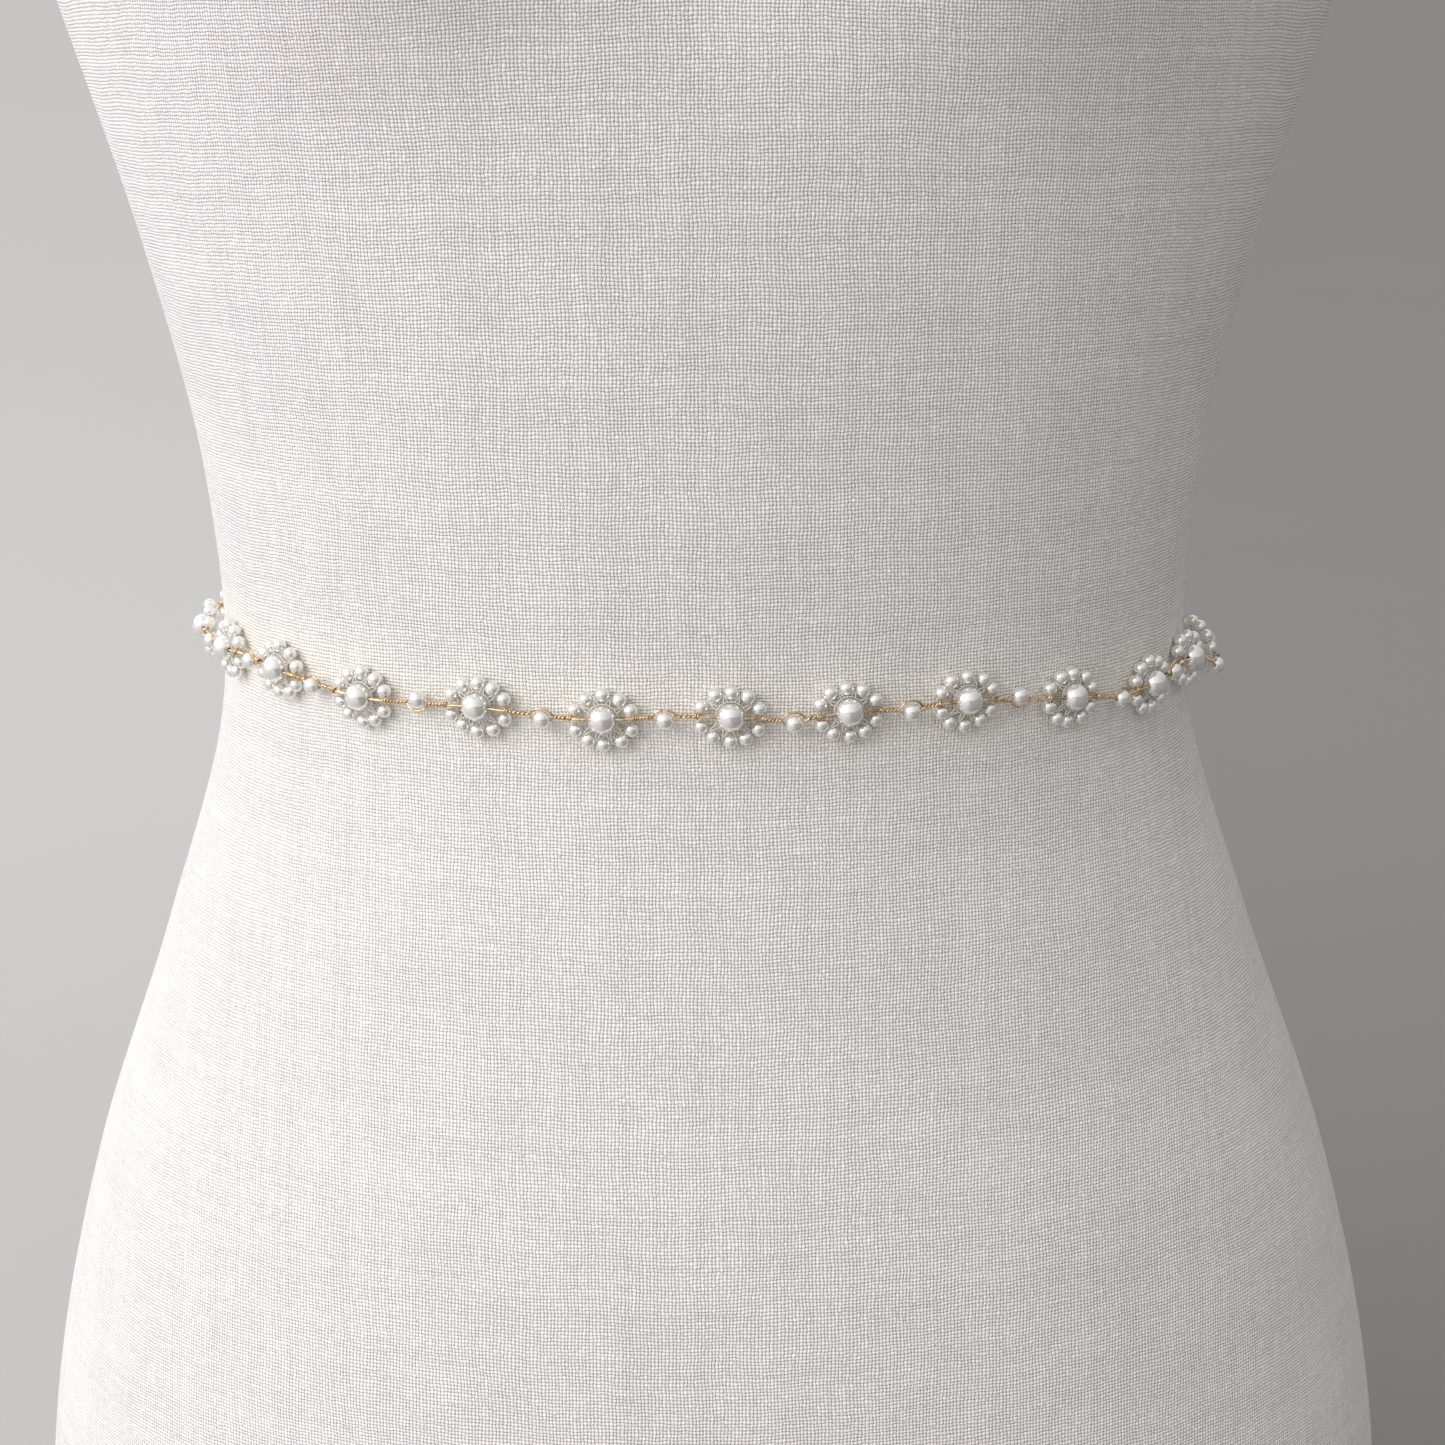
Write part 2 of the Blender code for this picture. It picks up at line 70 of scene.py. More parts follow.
# One row for each level of the form, in millimetres: height above the waist, half width,
# depth to the front, depth to the back, and the squareness of the section's outline.
LEVEL, HALF_WIDTH, FRONT, BACK, SQUARENESS = range(5)
FORM_SECTIONS = np.array(
    [
        (-330, 184.7, 112, 119, 2.25),
        (-265, 188.7, 119, 126, 2.25),
        (-195, 183.7, 119, 124, 2.20),
        (-125, 167.6, 113, 110, 2.15),
        (-60, 144.6, 101, 95, 2.10),
        (0, 127, 93, 90, 2.05),
        (60, 128, 95, 97, 2.10),
        (115, 139, 100, 106, 2.15),
        (165, 153, 104, 112, 2.20),
        (215, 168, 104, 113, 2.30),
        (270, 183, 97, 110, 2.40),
        (325, 184, 83, 100, 2.40),
        (352, 172, 72, 92, 2.30),
        (372, 138, 62, 85, 2.10),
        (392, 92, 55, 76, 2.00),
        (412, 64, 53, 68, 2.00),
        (455, 57, 52, 62, 2.00),
    ],
    float,
)
BUST_LEVEL = 0.205
BUST_OUT = 0.022
BUST_FROM_CENTRE = 0.080
BUST_WIDTH = 0.046
BUST_ABOVE = 0.062
BUST_BELOW = 0.040

# How finely the skin is divided: level from, level to, rings. The columns stand closer
# together beside the three seams, at these distances from each.
SKIN_SPANS = (
    (-0.326, -0.060, 90),
    (-0.060, 0.060, 50),
    (0.060, 0.215, 60),
    (0.215, 0.352, 50),
    (0.352, 0.412, 30),
    (0.412, 0.4515, 12),
)
SKIN_COLUMNS = 208
SEAM_COLUMNS = (-0.0032, -0.0020, -0.0012, -0.0006, 0.0, 0.0006, 0.0012, 0.0020, 0.0032)
SEAM_ANGLES = (-math.pi, -math.pi / 2, math.pi / 2)
SEAM_DEPTH = 0.0007
SEAM_WIDTH = 0.0009
EDGE_RINGS = 6

# The belt. Lengths along it are measured from the centre front, positive towards +X.
BELT_LEVEL = 0.0148
BELT_TILT = -0.026
FLOWERS = 24
FLOWERS_LEFT_OF_FRONT = 12
FLOWERS_ON_A_STRETCH = 3
FLOWER_PITCH = 0.0292
FRONT_FLOWER_AT = 0.0046
SKIN_CLEARANCE = 0.00045

# One row for each of twelve flowers from the left side round the front, in millimetres:
# the flower's slip along the wire and its rise above the belt's plane, and the same for
# the spacer pearl after it, from midway between its neighbours. The back repeats the rows.
SLIP, RISE, SPACER_SLIP, SPACER_RISE = range(4)
STRAY = np.array(
    [
        (-1.0, 0.3, 0.0, -1.0),
        (1.2, 1.3, 1.2, -0.6),
        (-1.2, 1.5, -0.9, -1.0),
        (-2.1, -0.8, 0.5, 0.8),
        (0.2, 0.6, 0.8, -1.3),
        (1.4, -0.4, -0.4, -0.3),
        (1.8, 1.0, 0.9, -2.2),
        (0.2, 1.9, 0.4, -1.6),
        (0.4, 3.0, -1.0, 0.6),
        (1.3, 0.6, 1.6, -1.8),
        (2.5, -1.0, -0.3, -0.5),
        (-2.5, 1.3, 0.3, -1.3),
    ]
)
STRAY_FROM_FLOWER = 6

# Where the belt is loose: for each side the angle round the form and the spread, in
# degrees, and how far it stands off the canvas and hangs down there, in millimetres.
LOOSE_AT, LOOSE_SPREAD, LOOSE_OUT, LOOSE_DOWN = range(4)
LOOSENESS = np.array(
    [
        (-95, 15, 3.0, 0.5),
        (82, 6.5, 5.6, 4.8),
    ],
    float,
)

CENTRE_PEARL_RADIUS = 0.00315
PETAL_RADIUS = 0.0016
SPACER_RADIUS = 0.0021
STRAND_RADIUS = 0.00029
THREAD_RADIUS = 0.00016
BORE_RADIUS = 0.0005
PETAL_BORE_RADIUS = 0.00022

# The clear thread's two inner loops: one inside the petals, one round the centre pearl.
SECOND_LOOP_SHARE = 0.80
CENTRE_LOOP_OUT = 0.0004
CENTRE_LOOP_BEHIND = 0.0006
TIE_LEAN = 0.16
TIE_ARCH = 0.0004

PETALS = 10
RING_HALF_WIDTH = 0.0071
RING_HALF_HEIGHT = 0.0058
RING_HEIGHT = 0.0020
RING_DROP = 0.0004
PETAL_ANGLES = (24.0, 57.0, 90.0)
# How far the hand-strung petals stray: degrees round the ring, then metres outwards and
# off the ring's plane, and the share by which their sizes differ.
PETAL_TURN = 2.2
PETAL_STRAY_OUT = 0.00022
PETAL_STRAY_OFF = 0.00018
PETAL_SIZE_STRAY = 0.035
# How much larger the shown pearls are than the solids: a mirror-like rim looks like the
# cloth beside it, so a pearl of the solid's size would look too small.
NACRE = 0.00009
PETAL_NACRE = 0.00015

WIRE_HEIGHT_AT_FLOWER = CENTRE_PEARL_RADIUS + SKIN_CLEARANCE
WIRE_HEIGHT_AT_SPACER = 0.0031
FLOWER_STRANDS_APART = 0.0074
FLOWER_STRANDS_TWISTED = 0.0082
SPACER_STRANDS_APART = 0.0022
SPACER_STRANDS_TWISTED = 0.0029
# Only one strand goes through a spacer pearl, so the pearl sits to one side of the wire.
SPACER_OFF_WIRE = 0.0009
# The rope: the length of a whole turn, each strand's way from the middle, points a turn.
TWIST_TURN = 0.0018
TWIST_RADIUS = 0.00031
TWIST_STEPS = 14
# The small coils where the wire enters and leaves a flower.
KNOT_FROM_FLOWER = 0.0077
KNOT_LENGTH = 0.0008
KNOT_TURNS = 1.5
# The strand that goes round a spacer: its bow's half width, rise and lean off the skin,
# and the range of the bows' sizes.
BOW_HALF_WIDTH = 0.0025
BOW_CLEARANCE = 0.0001
BOW_RISE = SPACER_RADIUS + NACRE + STRAND_RADIUS + BOW_CLEARANCE - SPACER_OFF_WIRE
BOW_LEAN = 0.0004
BOW_SIZE_RANGE = (1.0, 1.22)
SPACER_SIZE_RANGE = (0.98, 1.01)
CLASP_COIL_FROM, CLASP_COIL_TO, CLASP_COIL_TURNS = 0.0006, 0.0030, 6

CLASP_WIRE_HEIGHT = 0.0026
CLASP_TAIL = 0.0095
EYE_RADIUS = 0.0024
CLASP_WIRE_RADIUS = 0.0004
HOOK_RADIUS = 0.0011
HOOK_RISE = 0.0016
HOOK_RETURN = 0.0012

# The camera, fitted to the photograph: 2600 pixels of focal length on a 1445 pixel side.
PHOTO_SIDE = 1445
FOCAL_LENGTH = 2600
SENSOR_WIDTH = 36.0
CAMERA_TARGET = Vector((0.0045, 0.0, WAIST_HEIGHT - 0.0117))
CAMERA_DISTANCE = 0.6957
CAMERA_ELEVATION = 15.2
CAMERA_ROLL = 0.55

# The room: how bright its two sides are, and the floor, with painted shade fading from side to side.
DAYLIGHT = 1.37
DIM_SIDE = 0.43
FLOOR_FLAT = 2.0
FLOOR_REACH = 9.0
FLOOR_RIM = 2.4
FLOOR_SHADE_FADE = 0.25
FLOOR_LIT_SIDE = (0.565, 0.546, 0.551, 1.0)
FLOOR_PAINTED_SHADE = (0.229, 0.224, 0.217, 1.0)
WINDOW_PLACE = (-6.6, -3.7, 3.8)
WINDOW_AIM = (0, 0, 0.36)
WINDOW_SIZE = (9.0, 7.0)
WINDOW_POWER = 558.0
WINDOW_TONE = (1.0, 0.985, 0.97)


# The form's surface


def smooth_through(knots, values, at):
    """The values at these places, on a smooth curve through the knots."""
    slopes = np.gradient(values, knots)
    at = np.clip(at, knots[0], knots[-1])
    knot = np.clip(np.searchsorted(knots, at, side="right") - 1, 0, len(knots) - 2)
    step = knots[knot + 1] - knots[knot]
    t = (at - knots[knot]) / step
    return (
        (1 + 2 * t) * (1 - t) ** 2 * values[knot]
        + t * (1 - t) ** 2 * step * slopes[knot]
        + t**2 * (3 - 2 * t) * values[knot + 1]
        + t**2 * (t - 1) * step * slopes[knot + 1]
    )


def section(column, level):
    return smooth_through(FORM_SECTIONS[:, LEVEL] * MM, FORM_SECTIONS[:, column], level)


def signed_power(value, power):
    return np.sign(value) * np.abs(value) ** power


def soft_limit(value, limit, edge):
    """The value, kept under a limit with a rounded corner."""
    over = value - limit
    return limit + 0.5 * (over - np.sqrt(over**2 + edge**2))


def form_surface(angle, level):
    """Points on the form. The angle runs round it from the centre front towards +X."""
    angle, level = np.broadcast_arrays(np.asarray(angle, float), np.asarray(level, float))
    side, front = np.sin(angle), np.cos(angle)
    power = 2 / section(SQUARENESS, level)
    x = section(HALF_WIDTH, level) * MM * signed_power(side, power)
    depth = np.where(front >= 0, section(FRONT, level), section(BACK, level)) * MM
    y = -depth * signed_power(front, power)
    spread = np.where(level > BUST_LEVEL, BUST_ABOVE, BUST_BELOW)
    across = (np.abs(x) - BUST_FROM_CENTRE) / BUST_WIDTH
    mound = BUST_OUT * np.exp(-(across**2) - ((level - BUST_LEVEL) / spread) ** 2)
    y = y - mound * np.clip(front, 0, 1)
    flattened = np.sign(x) * soft_limit(np.abs(x), ARM_PLATE_X, ARM_PLATE_EDGE)
    x = np.where(level > ARM_PLATE_FROM, flattened, x)
    return np.stack([x, y, level + WAIST_HEIGHT], axis=-1)


def unit(vectors):
    return vectors / np.linalg.norm(vectors, axis=-1, keepdims=True)


def skin_normal(angle, level):
    small = 1e-4
    across = form_surface(angle + small, level) - form_surface(angle - small, level)
    upward = form_surface(angle, level + small) - form_surface(angle, level - small)
    return unit(np.cross(across, upward))


# The belt's route


def stray(number, column):
    row = (number - STRAY_FROM_FLOWER) % len(STRAY)
    return STRAY[row, column] * MM


def flower_at(number):
    """Where a flower's centre lies along the belt; flowers are numbered from 0."""
    steps = number - FLOWERS_LEFT_OF_FRONT
    return FRONT_FLOWER_AT + steps * FLOWER_PITCH + stray(number, SLIP)


def spacer_at(number):
    """Where a spacer pearl's centre lies along the belt, after the flower of its number."""
    middle = (flower_at(number) + flower_at(number + 1)) / 2
    return middle + stray(number, SPACER_SLIP)


def spacer_shift(number):
    """How far a spacer pearl lies above the wire, or below it as a minus."""
    return math.copysign(SPACER_OFF_WIRE, stray(number, SPACER_RISE))


def wire_ends():
    """Where the wire ends along the belt: at the eye, before flower 0, and at the hook."""
    reach = FLOWER_STRANDS_TWISTED + CLASP_TAIL
    return flower_at(0) - reach, flower_at(FLOWERS - 1) + reach


def wire_height(at):
    """The wire's height over the skin: highest at the flowers, lowest at the spacers."""
    flowers = [flower_at(number) for number in range(FLOWERS)]
    middles = [spacer_at(number) for number in range(FLOWERS - 1)]
    first, last = wire_ends()
    knots = np.array(sorted([first, last] + flowers + middles))
    heights = np.full(len(knots), WIRE_HEIGHT_AT_SPACER)
    heights[1::2] = WIRE_HEIGHT_AT_FLOWER
    heights[[0, -1]] = CLASP_WIRE_HEIGHT
    return smooth_through(knots, heights, at)


def looseness(angle, column):
    """How far the belt stands off the form, or hangs down, at these angles."""
    centre, spread = np.radians(LOOSENESS[:, [LOOSE_AT, LOOSE_SPREAD]]).T
    away = (np.asarray(angle)[..., None] - centre) / spread
    return (LOOSENESS[:, column] * MM * np.exp(-(away**2))).sum(axis=-1)


def belt_level(angle, rise=0.0):
    """The height above the waist of the belt at these angles round the form."""
    hung = BELT_LEVEL + rise - looseness(angle, LOOSE_DOWN)
    level = hung
    for _ in range(3):
        level = hung + BELT_TILT * form_surface(angle, level)[..., 0]
    return level


class Route:
    """The belt's line round the form, by length from the centre front."""

    def __init__(self):
        angle = np.linspace(-math.pi, math.pi, 2881)
        level = belt_level(angle)
        height = looseness(angle, LOOSE_OUT) + WIRE_HEIGHT_AT_FLOWER
        points = form_surface(angle, level) + skin_normal(angle, level) * height[:, None]
        steps = np.linalg.norm(np.diff(points, axis=0), axis=1)
        length = np.concatenate([[0.0], np.cumsum(steps)])
        self.length = length[-1]
        self.along = length - np.interp(0.0, angle, length)
        self.angle = angle
        # The wire's rise above the belt's plane, at each flower and at each spacer.
        flowers = np.array([flower_at(number) for number in range(FLOWERS)])
        rises = np.array([stray(number, RISE) for number in range(FLOWERS)])
        spacers = np.array([spacer_at(number) for number in range(FLOWERS - 1)])
        pearls = np.array([stray(number, SPACER_RISE) for number in range(FLOWERS - 1)])
        shifts = np.array([spacer_shift(number) for number in range(FLOWERS - 1)])
        dips = smooth_through(flowers, rises, spacers) + pearls - shifts
        self.knots = np.insert(flowers, range(1, FLOWERS), spacers)
        self.rises = np.insert(rises, range(1, FLOWERS), dips)

    def base(self, at, shift=0.0):
        """The points that the belt's height is measured from, and the skin's normals."""
        at = np.asarray(at, float)
        rise = smooth_through(self.knots, self.rises, at) + shift
        at = (at - self.along[0]) % self.length + self.along[0]
        angle = np.interp(at, self.along, self.angle)
        level = belt_level(angle, rise)
        normal = skin_normal(angle, level)
        out = looseness(angle, LOOSE_OUT)
        return form_surface(angle, level) + normal * out[..., None], normal

    def point(self, at, height, shift=0.0):
        place, normal = self.base(at, shift)
        return place + normal * np.asarray(height)[..., None]

    def frame(self, at, height, shift=0.0):
        """A matrix whose X runs along the belt, Y into the form and Z up it."""
        step = 0.5 * MM
        along = Vector(self.point(at + step, height, shift) - self.point(at - step, height, shift))
        along.normalize()
        inward = -Vector(self.base(at, shift)[1])
        inward = (inward - along * inward.dot(along)).normalized()
        matrix = Matrix((along, inward, along.cross(inward))).transposed().to_4x4()
        matrix.translation = Vector(self.point(at, height, shift))
        return matrix

    def laid(self, path):
        """Points of a path given as rows of length along the belt, off the skin, and up."""
        at, off, up = np.asarray(path, float).T
        place, normal = self.base(at)
        step = 0.5 * MM
        along = unit(self.base(at + step)[0] - self.base(at - step)[0])
        upward = unit(np.cross(along, -normal))
        height = wire_height(at) + off
        return place + normal * height[:, None] + upward * up[:, None]


route = Route()


# Making meshes


class Shape:
    """Points and faces that are gathered for one piece, with a material for each face."""

    def __init__(self):
        self.points = []
        self.faces = []
        self.slots = []
        self.count = 0

    def add(self, points, faces, slot=0):
        points = np.asarray(points, float)
        self.points.append(points)
        self.faces += [tuple(i + self.count for i in face) for face in faces]
        self.slots += [slot] * len(faces)
        self.count += len(points)

    def piece(self, name, materials, slot_name, *nodes):
        """The finished piece, which stands for these nodes of the solids."""
        mesh = bpy.data.meshes.new(name)
        mesh.from_pydata(np.concatenate(self.points).tolist(), [], self.faces)
        for material in materials:
            mesh.materials.append(material)
        mesh.polygons.foreach_set("material_index", self.slots)
        mesh.shade_smooth()
        return placed(name, mesh, slot_name, *nodes)


def placed(name, mesh, slot_name, *nodes):
    thing = bpy.data.objects.new(name, mesh)
    bpy.context.scene.collection.objects.link(thing)
    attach(thing, BODY)
    if nodes:
        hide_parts(*nodes)
    return thing


def grid_faces(rows, columns, closed_rows=False):
    """Quads between rows of points, each row a closed ring."""
    faces = []
    last = rows if closed_rows else rows - 1
    for row in range(last):
        lower, upper = row * columns, (row + 1) % rows * columns
        for i in range(columns):
            j = (i + 1) % columns
            faces.append((lower + i, lower + j, upper + j, upper + i))
    return faces


def swept(points, radii, sides, closed=False):
    """A round tube along points, as its points and faces; open tubes get end caps."""
    points = np.asarray(points, float)
    count = len(points)
    radii = np.broadcast_to(radii, count)
    if closed:
        ahead = np.roll(points, -1, axis=0) - np.roll(points, 1, axis=0)
    else:
        ahead = np.gradient(points, axis=0)
    ahead = unit(ahead)
    across = np.cross(ahead[0], (0.31, 0.52, 0.79))
    turn = np.linspace(0, 2 * math.pi, sides, endpoint=False)
    ring = np.empty((count, sides, 3))
    for i in range(count):
        across = across - ahead[i] * across.dot(ahead[i])
        across /= np.linalg.norm(across)
        other = np.cross(ahead[i], across)
        ring[i] = points[i] + radii[i] * (
            np.cos(turn)[:, None] * across + np.sin(turn)[:, None] * other
        )
    faces = grid_faces(count, sides, closed)
    if not closed:
        faces.append(tuple(range(sides))[::-1])
        faces.append(tuple((count - 1) * sides + i for i in range(sides)))
    return ring.reshape(-1, 3), faces


def pearl(radius, bore, sides, arcs):
    """A drilled pearl with its hole along X, as its points and faces."""
    opening = math.asin(bore / radius)
    turn = np.linspace(opening, math.pi - opening, arcs)
    profile = [(-radius * math.cos(a), radius * math.sin(a)) for a in turn]
    # The hole's edge is worn a little, and its wall runs back to the start.
    mouth = radius * math.cos(opening)
    profile.append((mouth * 0.96, bore * 0.85))
    profile.append((-mouth * 0.96, bore * 0.85))
    around = np.linspace(0, 2 * math.pi, sides, endpoint=False)
    rings = [[(x, r * math.cos(a), r * math.sin(a)) for a in around] for x, r in profile]
    return np.array(rings).reshape(-1, 3), grid_faces(len(profile), sides, True)


def transformed(points, matrix):
    matrix = np.array(matrix)
    return points @ matrix[:3, :3].T + matrix[:3, 3]


# Materials


class Graph:
    """A material's nodes, made by short calls."""

    def __init__(self, name):
        self.material = bpy.data.materials.new(name)
        self.material.use_nodes = True
        self.tree = self.material.node_tree
        self.shader = self.tree.nodes["Principled BSDF"]

    def node(self, kind, inputs=None, **settings):
        made = self.tree.nodes.new(kind)
        for key, value in settings.items():
            setattr(made, key, value)
        for key, value in (inputs or {}).items():
            self.feed(made.inputs[key], value)
        return made

    def feed(self, socket, value):
        if isinstance(value, bpy.types.NodeSocket):
            self.tree.links.new(value, socket)
        else:
            socket.default_value = value

    def math(self, operation, *values):
        made = self.node("ShaderNodeMath", operation=operation)
        for socket, value in zip(made.inputs, values):
            self.feed(socket, value)
        return made.outputs[0]

    def ramp(self, value, low, high, to_low=0.0, to_high=1.0, smooth=True):
        made = self.node(
            "ShaderNodeMapRange",
            {"Value": value, "From Min": low, "From Max": high, "To Min": to_low, "To Max": to_high},
            interpolation_type="SMOOTHSTEP" if smooth else "LINEAR",
        )
        return made.outputs["Result"]

    def mix(self, share, first, second, blend="MIX"):
        made = self.node("ShaderNodeMix", data_type="RGBA", blend_type=blend)
        self.feed(made.inputs[0], share)
        self.feed(made.inputs[6], first)
        self.feed(made.inputs[7], second)
        return made.outputs[2]

    def noise(self, vector, scale, detail=2.0, roughness=0.5, dimensions="3D"):
        made = self.node(
            "ShaderNodeTexNoise",
            {"Vector": vector, "Scale": scale, "Detail": detail, "Roughness": roughness},
            noise_dimensions=dimensions,
        )
        return made.outputs["Fac"]

    def bump(self, height, distance, strength=1.0):
        made = self.node(
            "ShaderNodeBump", {"Height": height, "Distance": distance, "Strength": strength}
        )
        self.tree.links.new(made.outputs[0], self.shader.inputs["Normal"])

    def set(self, **values):
        for key, value in values.items():
            self.feed(self.shader.inputs[key.replace("_", " ")], value)


def colour(red, green, blue):
    return (red, green, blue, 1.0)


# The canvas. Scales are noise cells to a metre of cloth, wavers are in threads, and heights
# are in the weave's own unit, in which a thread's ridge is 1.
THREAD_PITCH = 0.00086
WAVERS = ((60.0, 1.2), (420.0, 0.4))
WEFT_NOISE_SHIFT = (3.7, 1.9, 0.0)
SLUB_SCALE = 210.0
WARP_SALT, WEFT_SALT = 7.31, 5.17
THREAD_WIDTHS = (0.42, 0.50)
SLUB_SWELL = 0.25
CROWN_RISE = 0.8
WEAVE_LOW, WEAVE_HIGH = -0.45, 1.65
WEAVE_RELIEF = 0.00051
FIBRE_SCALE = 5200.0
CLOUD_SCALE = 35.0
CANVAS_PLAIN = (0.90, 0.873, 0.863, 1.0)
# The canvas's painted bounce light by the belt: lighter and warmer than its plain colour.
CANVAS_PAINTED_BOUNCE = (1.0, 0.955, 0.865, 1.0)


def waver(g, vector):
    """How far the threads wander off their straight lines, in threads."""
    parts = [
        g.math("MULTIPLY", g.math("SUBTRACT", g.noise(vector, scale, 0.0, dimensions="2D"), 0.5), reach)
        for scale, reach in WAVERS
    ]
    return g.math("ADD", *parts)


def woven_thread(g, number, off, length, salt):
    """A thread's ridge and tone; slubs thicken and lighten it here and there."""
    own = g.node("ShaderNodeTexWhiteNoise", {"W": number}, noise_dimensions="1D")
    strip = g.node(
        "ShaderNodeCombineXYZ",
        {"X": g.math("MULTIPLY", length, SLUB_SCALE), "Y": g.math("MULTIPLY", number, salt)},
    )
    swell = g.noise(strip.outputs[0], 1.0, 1.0, 0.6, "2D")
    slub = g.ramp(swell, 0.52, 0.78)
    plain = g.ramp(own.outputs["Value"], 0, 1, *THREAD_WIDTHS)
    width = g.math("ADD", plain, g.math("MULTIPLY", g.math("SUBTRACT", swell, 0.5), SLUB_SWELL))
    ridge = g.math("DIVIDE", off, width)
    ridge = g.math("SUBTRACT", 1.0, g.math("MULTIPLY", ridge, ridge))
    tone = g.math("SUBTRACT", own.outputs["Value"], 0.5)
    return ridge, g.math("ADD", tone, g.math("MULTIPLY", slub, 1.2)), slub


def plain_weave(g, cloth):
    """The weave's height, tone and slubs, and a value of its own for each crossing."""
    parts = g.node("ShaderNodeSeparateXYZ", {"Vector": cloth})
    shifted = g.node("ShaderNodeVectorMath", {0: cloth, 1: WEFT_NOISE_SHIFT}, operation="ADD")
    across = g.math("ADD", g.math("DIVIDE", parts.outputs["X"], THREAD_PITCH), waver(g, cloth))
    along = g.math(
        "ADD", g.math("DIVIDE", parts.outputs["Y"], THREAD_PITCH), waver(g, shifted.outputs[0])
    )
    warp, weft = g.math("FLOOR", across), g.math("FLOOR", along)
    warp_off = g.math("SUBTRACT", g.math("SUBTRACT", across, warp), 0.5)
    weft_off = g.math("SUBTRACT", g.math("SUBTRACT", along, weft), 0.5)
    warp_ridge, warp_tone, warp_slub = woven_thread(g, warp, warp_off, parts.outputs["Y"], WARP_SALT)
    weft_ridge, weft_tone, weft_slub = woven_thread(g, weft, weft_off, parts.outputs["X"], WEFT_SALT)
    odd = g.math("FLOORED_MODULO", g.math("ADD", warp, weft), 2.0)
    over = g.math("SUBTRACT", 1.0, g.math("MULTIPLY", odd, 2.0))
    warp_rise = g.math("MULTIPLY", over, g.math("COSINE", g.math("MULTIPLY", weft_off, math.pi)))
    weft_rise = g.math("MULTIPLY", over, g.math("COSINE", g.math("MULTIPLY", warp_off, math.pi)))
    warp_top = g.math("ADD", warp_ridge, g.math("MULTIPLY", warp_rise, CROWN_RISE))
    weft_top = g.math("SUBTRACT", weft_ridge, g.math("MULTIPLY", weft_rise, CROWN_RISE))
    on_warp = g.math("GREATER_THAN", warp_top, weft_top)
    top = g.ramp(g.math("MAXIMUM", warp_top, weft_top), WEAVE_LOW, WEAVE_HIGH, smooth=False)
    tone = g.node("ShaderNodeMix", {"Factor": on_warp, "A": weft_tone, "B": warp_tone}).outputs[0]
    crossing = g.node("ShaderNodeCombineXYZ", {"X": warp, "Y": weft}).outputs[0]
    own = g.node("ShaderNodeTexWhiteNoise", {"Vector": crossing}, noise_dimensions="2D")
    return top, tone, g.math("MAXIMUM", warp_slub, weft_slub), own.outputs["Value"]


def canvas_material():
    """Plain-weave linen canvas with slubs, fibres and nubs of flax, from the cloth's metres."""
    g = Graph("linen_canvas")
    cloth = g.node("ShaderNodeUVMap", uv_map="cloth").outputs[0]
    top, tone, slub, crossing = plain_weave(g, cloth)
    fibre = g.math("SUBTRACT", g.noise(cloth, FIBRE_SCALE, 0.0, dimensions="2D"), 0.5)
    nub = g.ramp(crossing, 0.90, 1.0)
    cloud = g.noise(cloth, CLOUD_SCALE, 1.0, 0.55, "2D")
    # The weave's height paints the crowns lighter and the gaps between threads darker: painted shade
    # between the threads.
    light = g.math("ADD", g.math("MULTIPLY", tone, 0.05), g.math("MULTIPLY", top, 0.185))
    light = g.math("ADD", light, g.math("MULTIPLY", nub, 0.10))
    light = g.math("ADD", light, g.math("MULTIPLY", fibre, 0.12))
    light = g.math("ADD", light, g.ramp(cloud, 0.3, 0.7, -0.015, 0.015))
    light = g.math("ADD", light, 0.885)
    # Painted bounce light: the canvas is painted lighter and warmer along the belt and round the
    # flowers, for the light the wire and pearls throw and to lift the shade beneath them.
    painted_bounce_light = g.node("ShaderNodeAttribute", attribute_name="painted_bounce_light").outputs["Fac"]
    plain = g.mix(painted_bounce_light, CANVAS_PLAIN, CANVAS_PAINTED_BOUNCE)
    shade = g.node("ShaderNodeCombineColor", {"Red": light, "Green": light, "Blue": light})
    g.set(Base_Color=g.mix(1.0, plain, shade.outputs[0], "MULTIPLY"))
    g.set(Roughness=0.92, Specular_IOR_Level=0.25, Sheen_Weight=0.05, Sheen_Roughness=0.5)
    raised = g.math("ADD", top, g.math("MULTIPLY", g.math("ADD", slub, nub), 0.2))
    raised = g.math("ADD", raised, g.math("MULTIPLY", fibre, 0.15))
    g.bump(raised, WEAVE_RELIEF, 1.0)
    return g.material


def pearl_material():
    """Imitation pearl: an ivory bead under a satin, silvery coat."""
    g = Graph("ivory_pearl")
    place = g.node("ShaderNodeTexCoord").outputs["Object"]
    tint = g.ramp(g.noise(place, 160.0, 1.0), 0.35, 0.65)
    g.set(Base_Color=g.mix(tint, colour(0.90, 0.885, 0.862), colour(0.92, 0.897, 0.865)))
    speck = g.noise(place, 2600.0, 2.0)
    g.set(Roughness=g.ramp(speck, 0.3, 0.7, 0.10, 0.17))
    g.set(Metallic=0.72, Specular_IOR_Level=0.6, Coat_Weight=0.6, Coat_Roughness=0.04)
    g.set(Sheen_Weight=0.3, Sheen_Roughness=0.3)
    g.bump(g.noise(place, 1500.0, 2.0), 0.00001, 0.5)
    return g.material


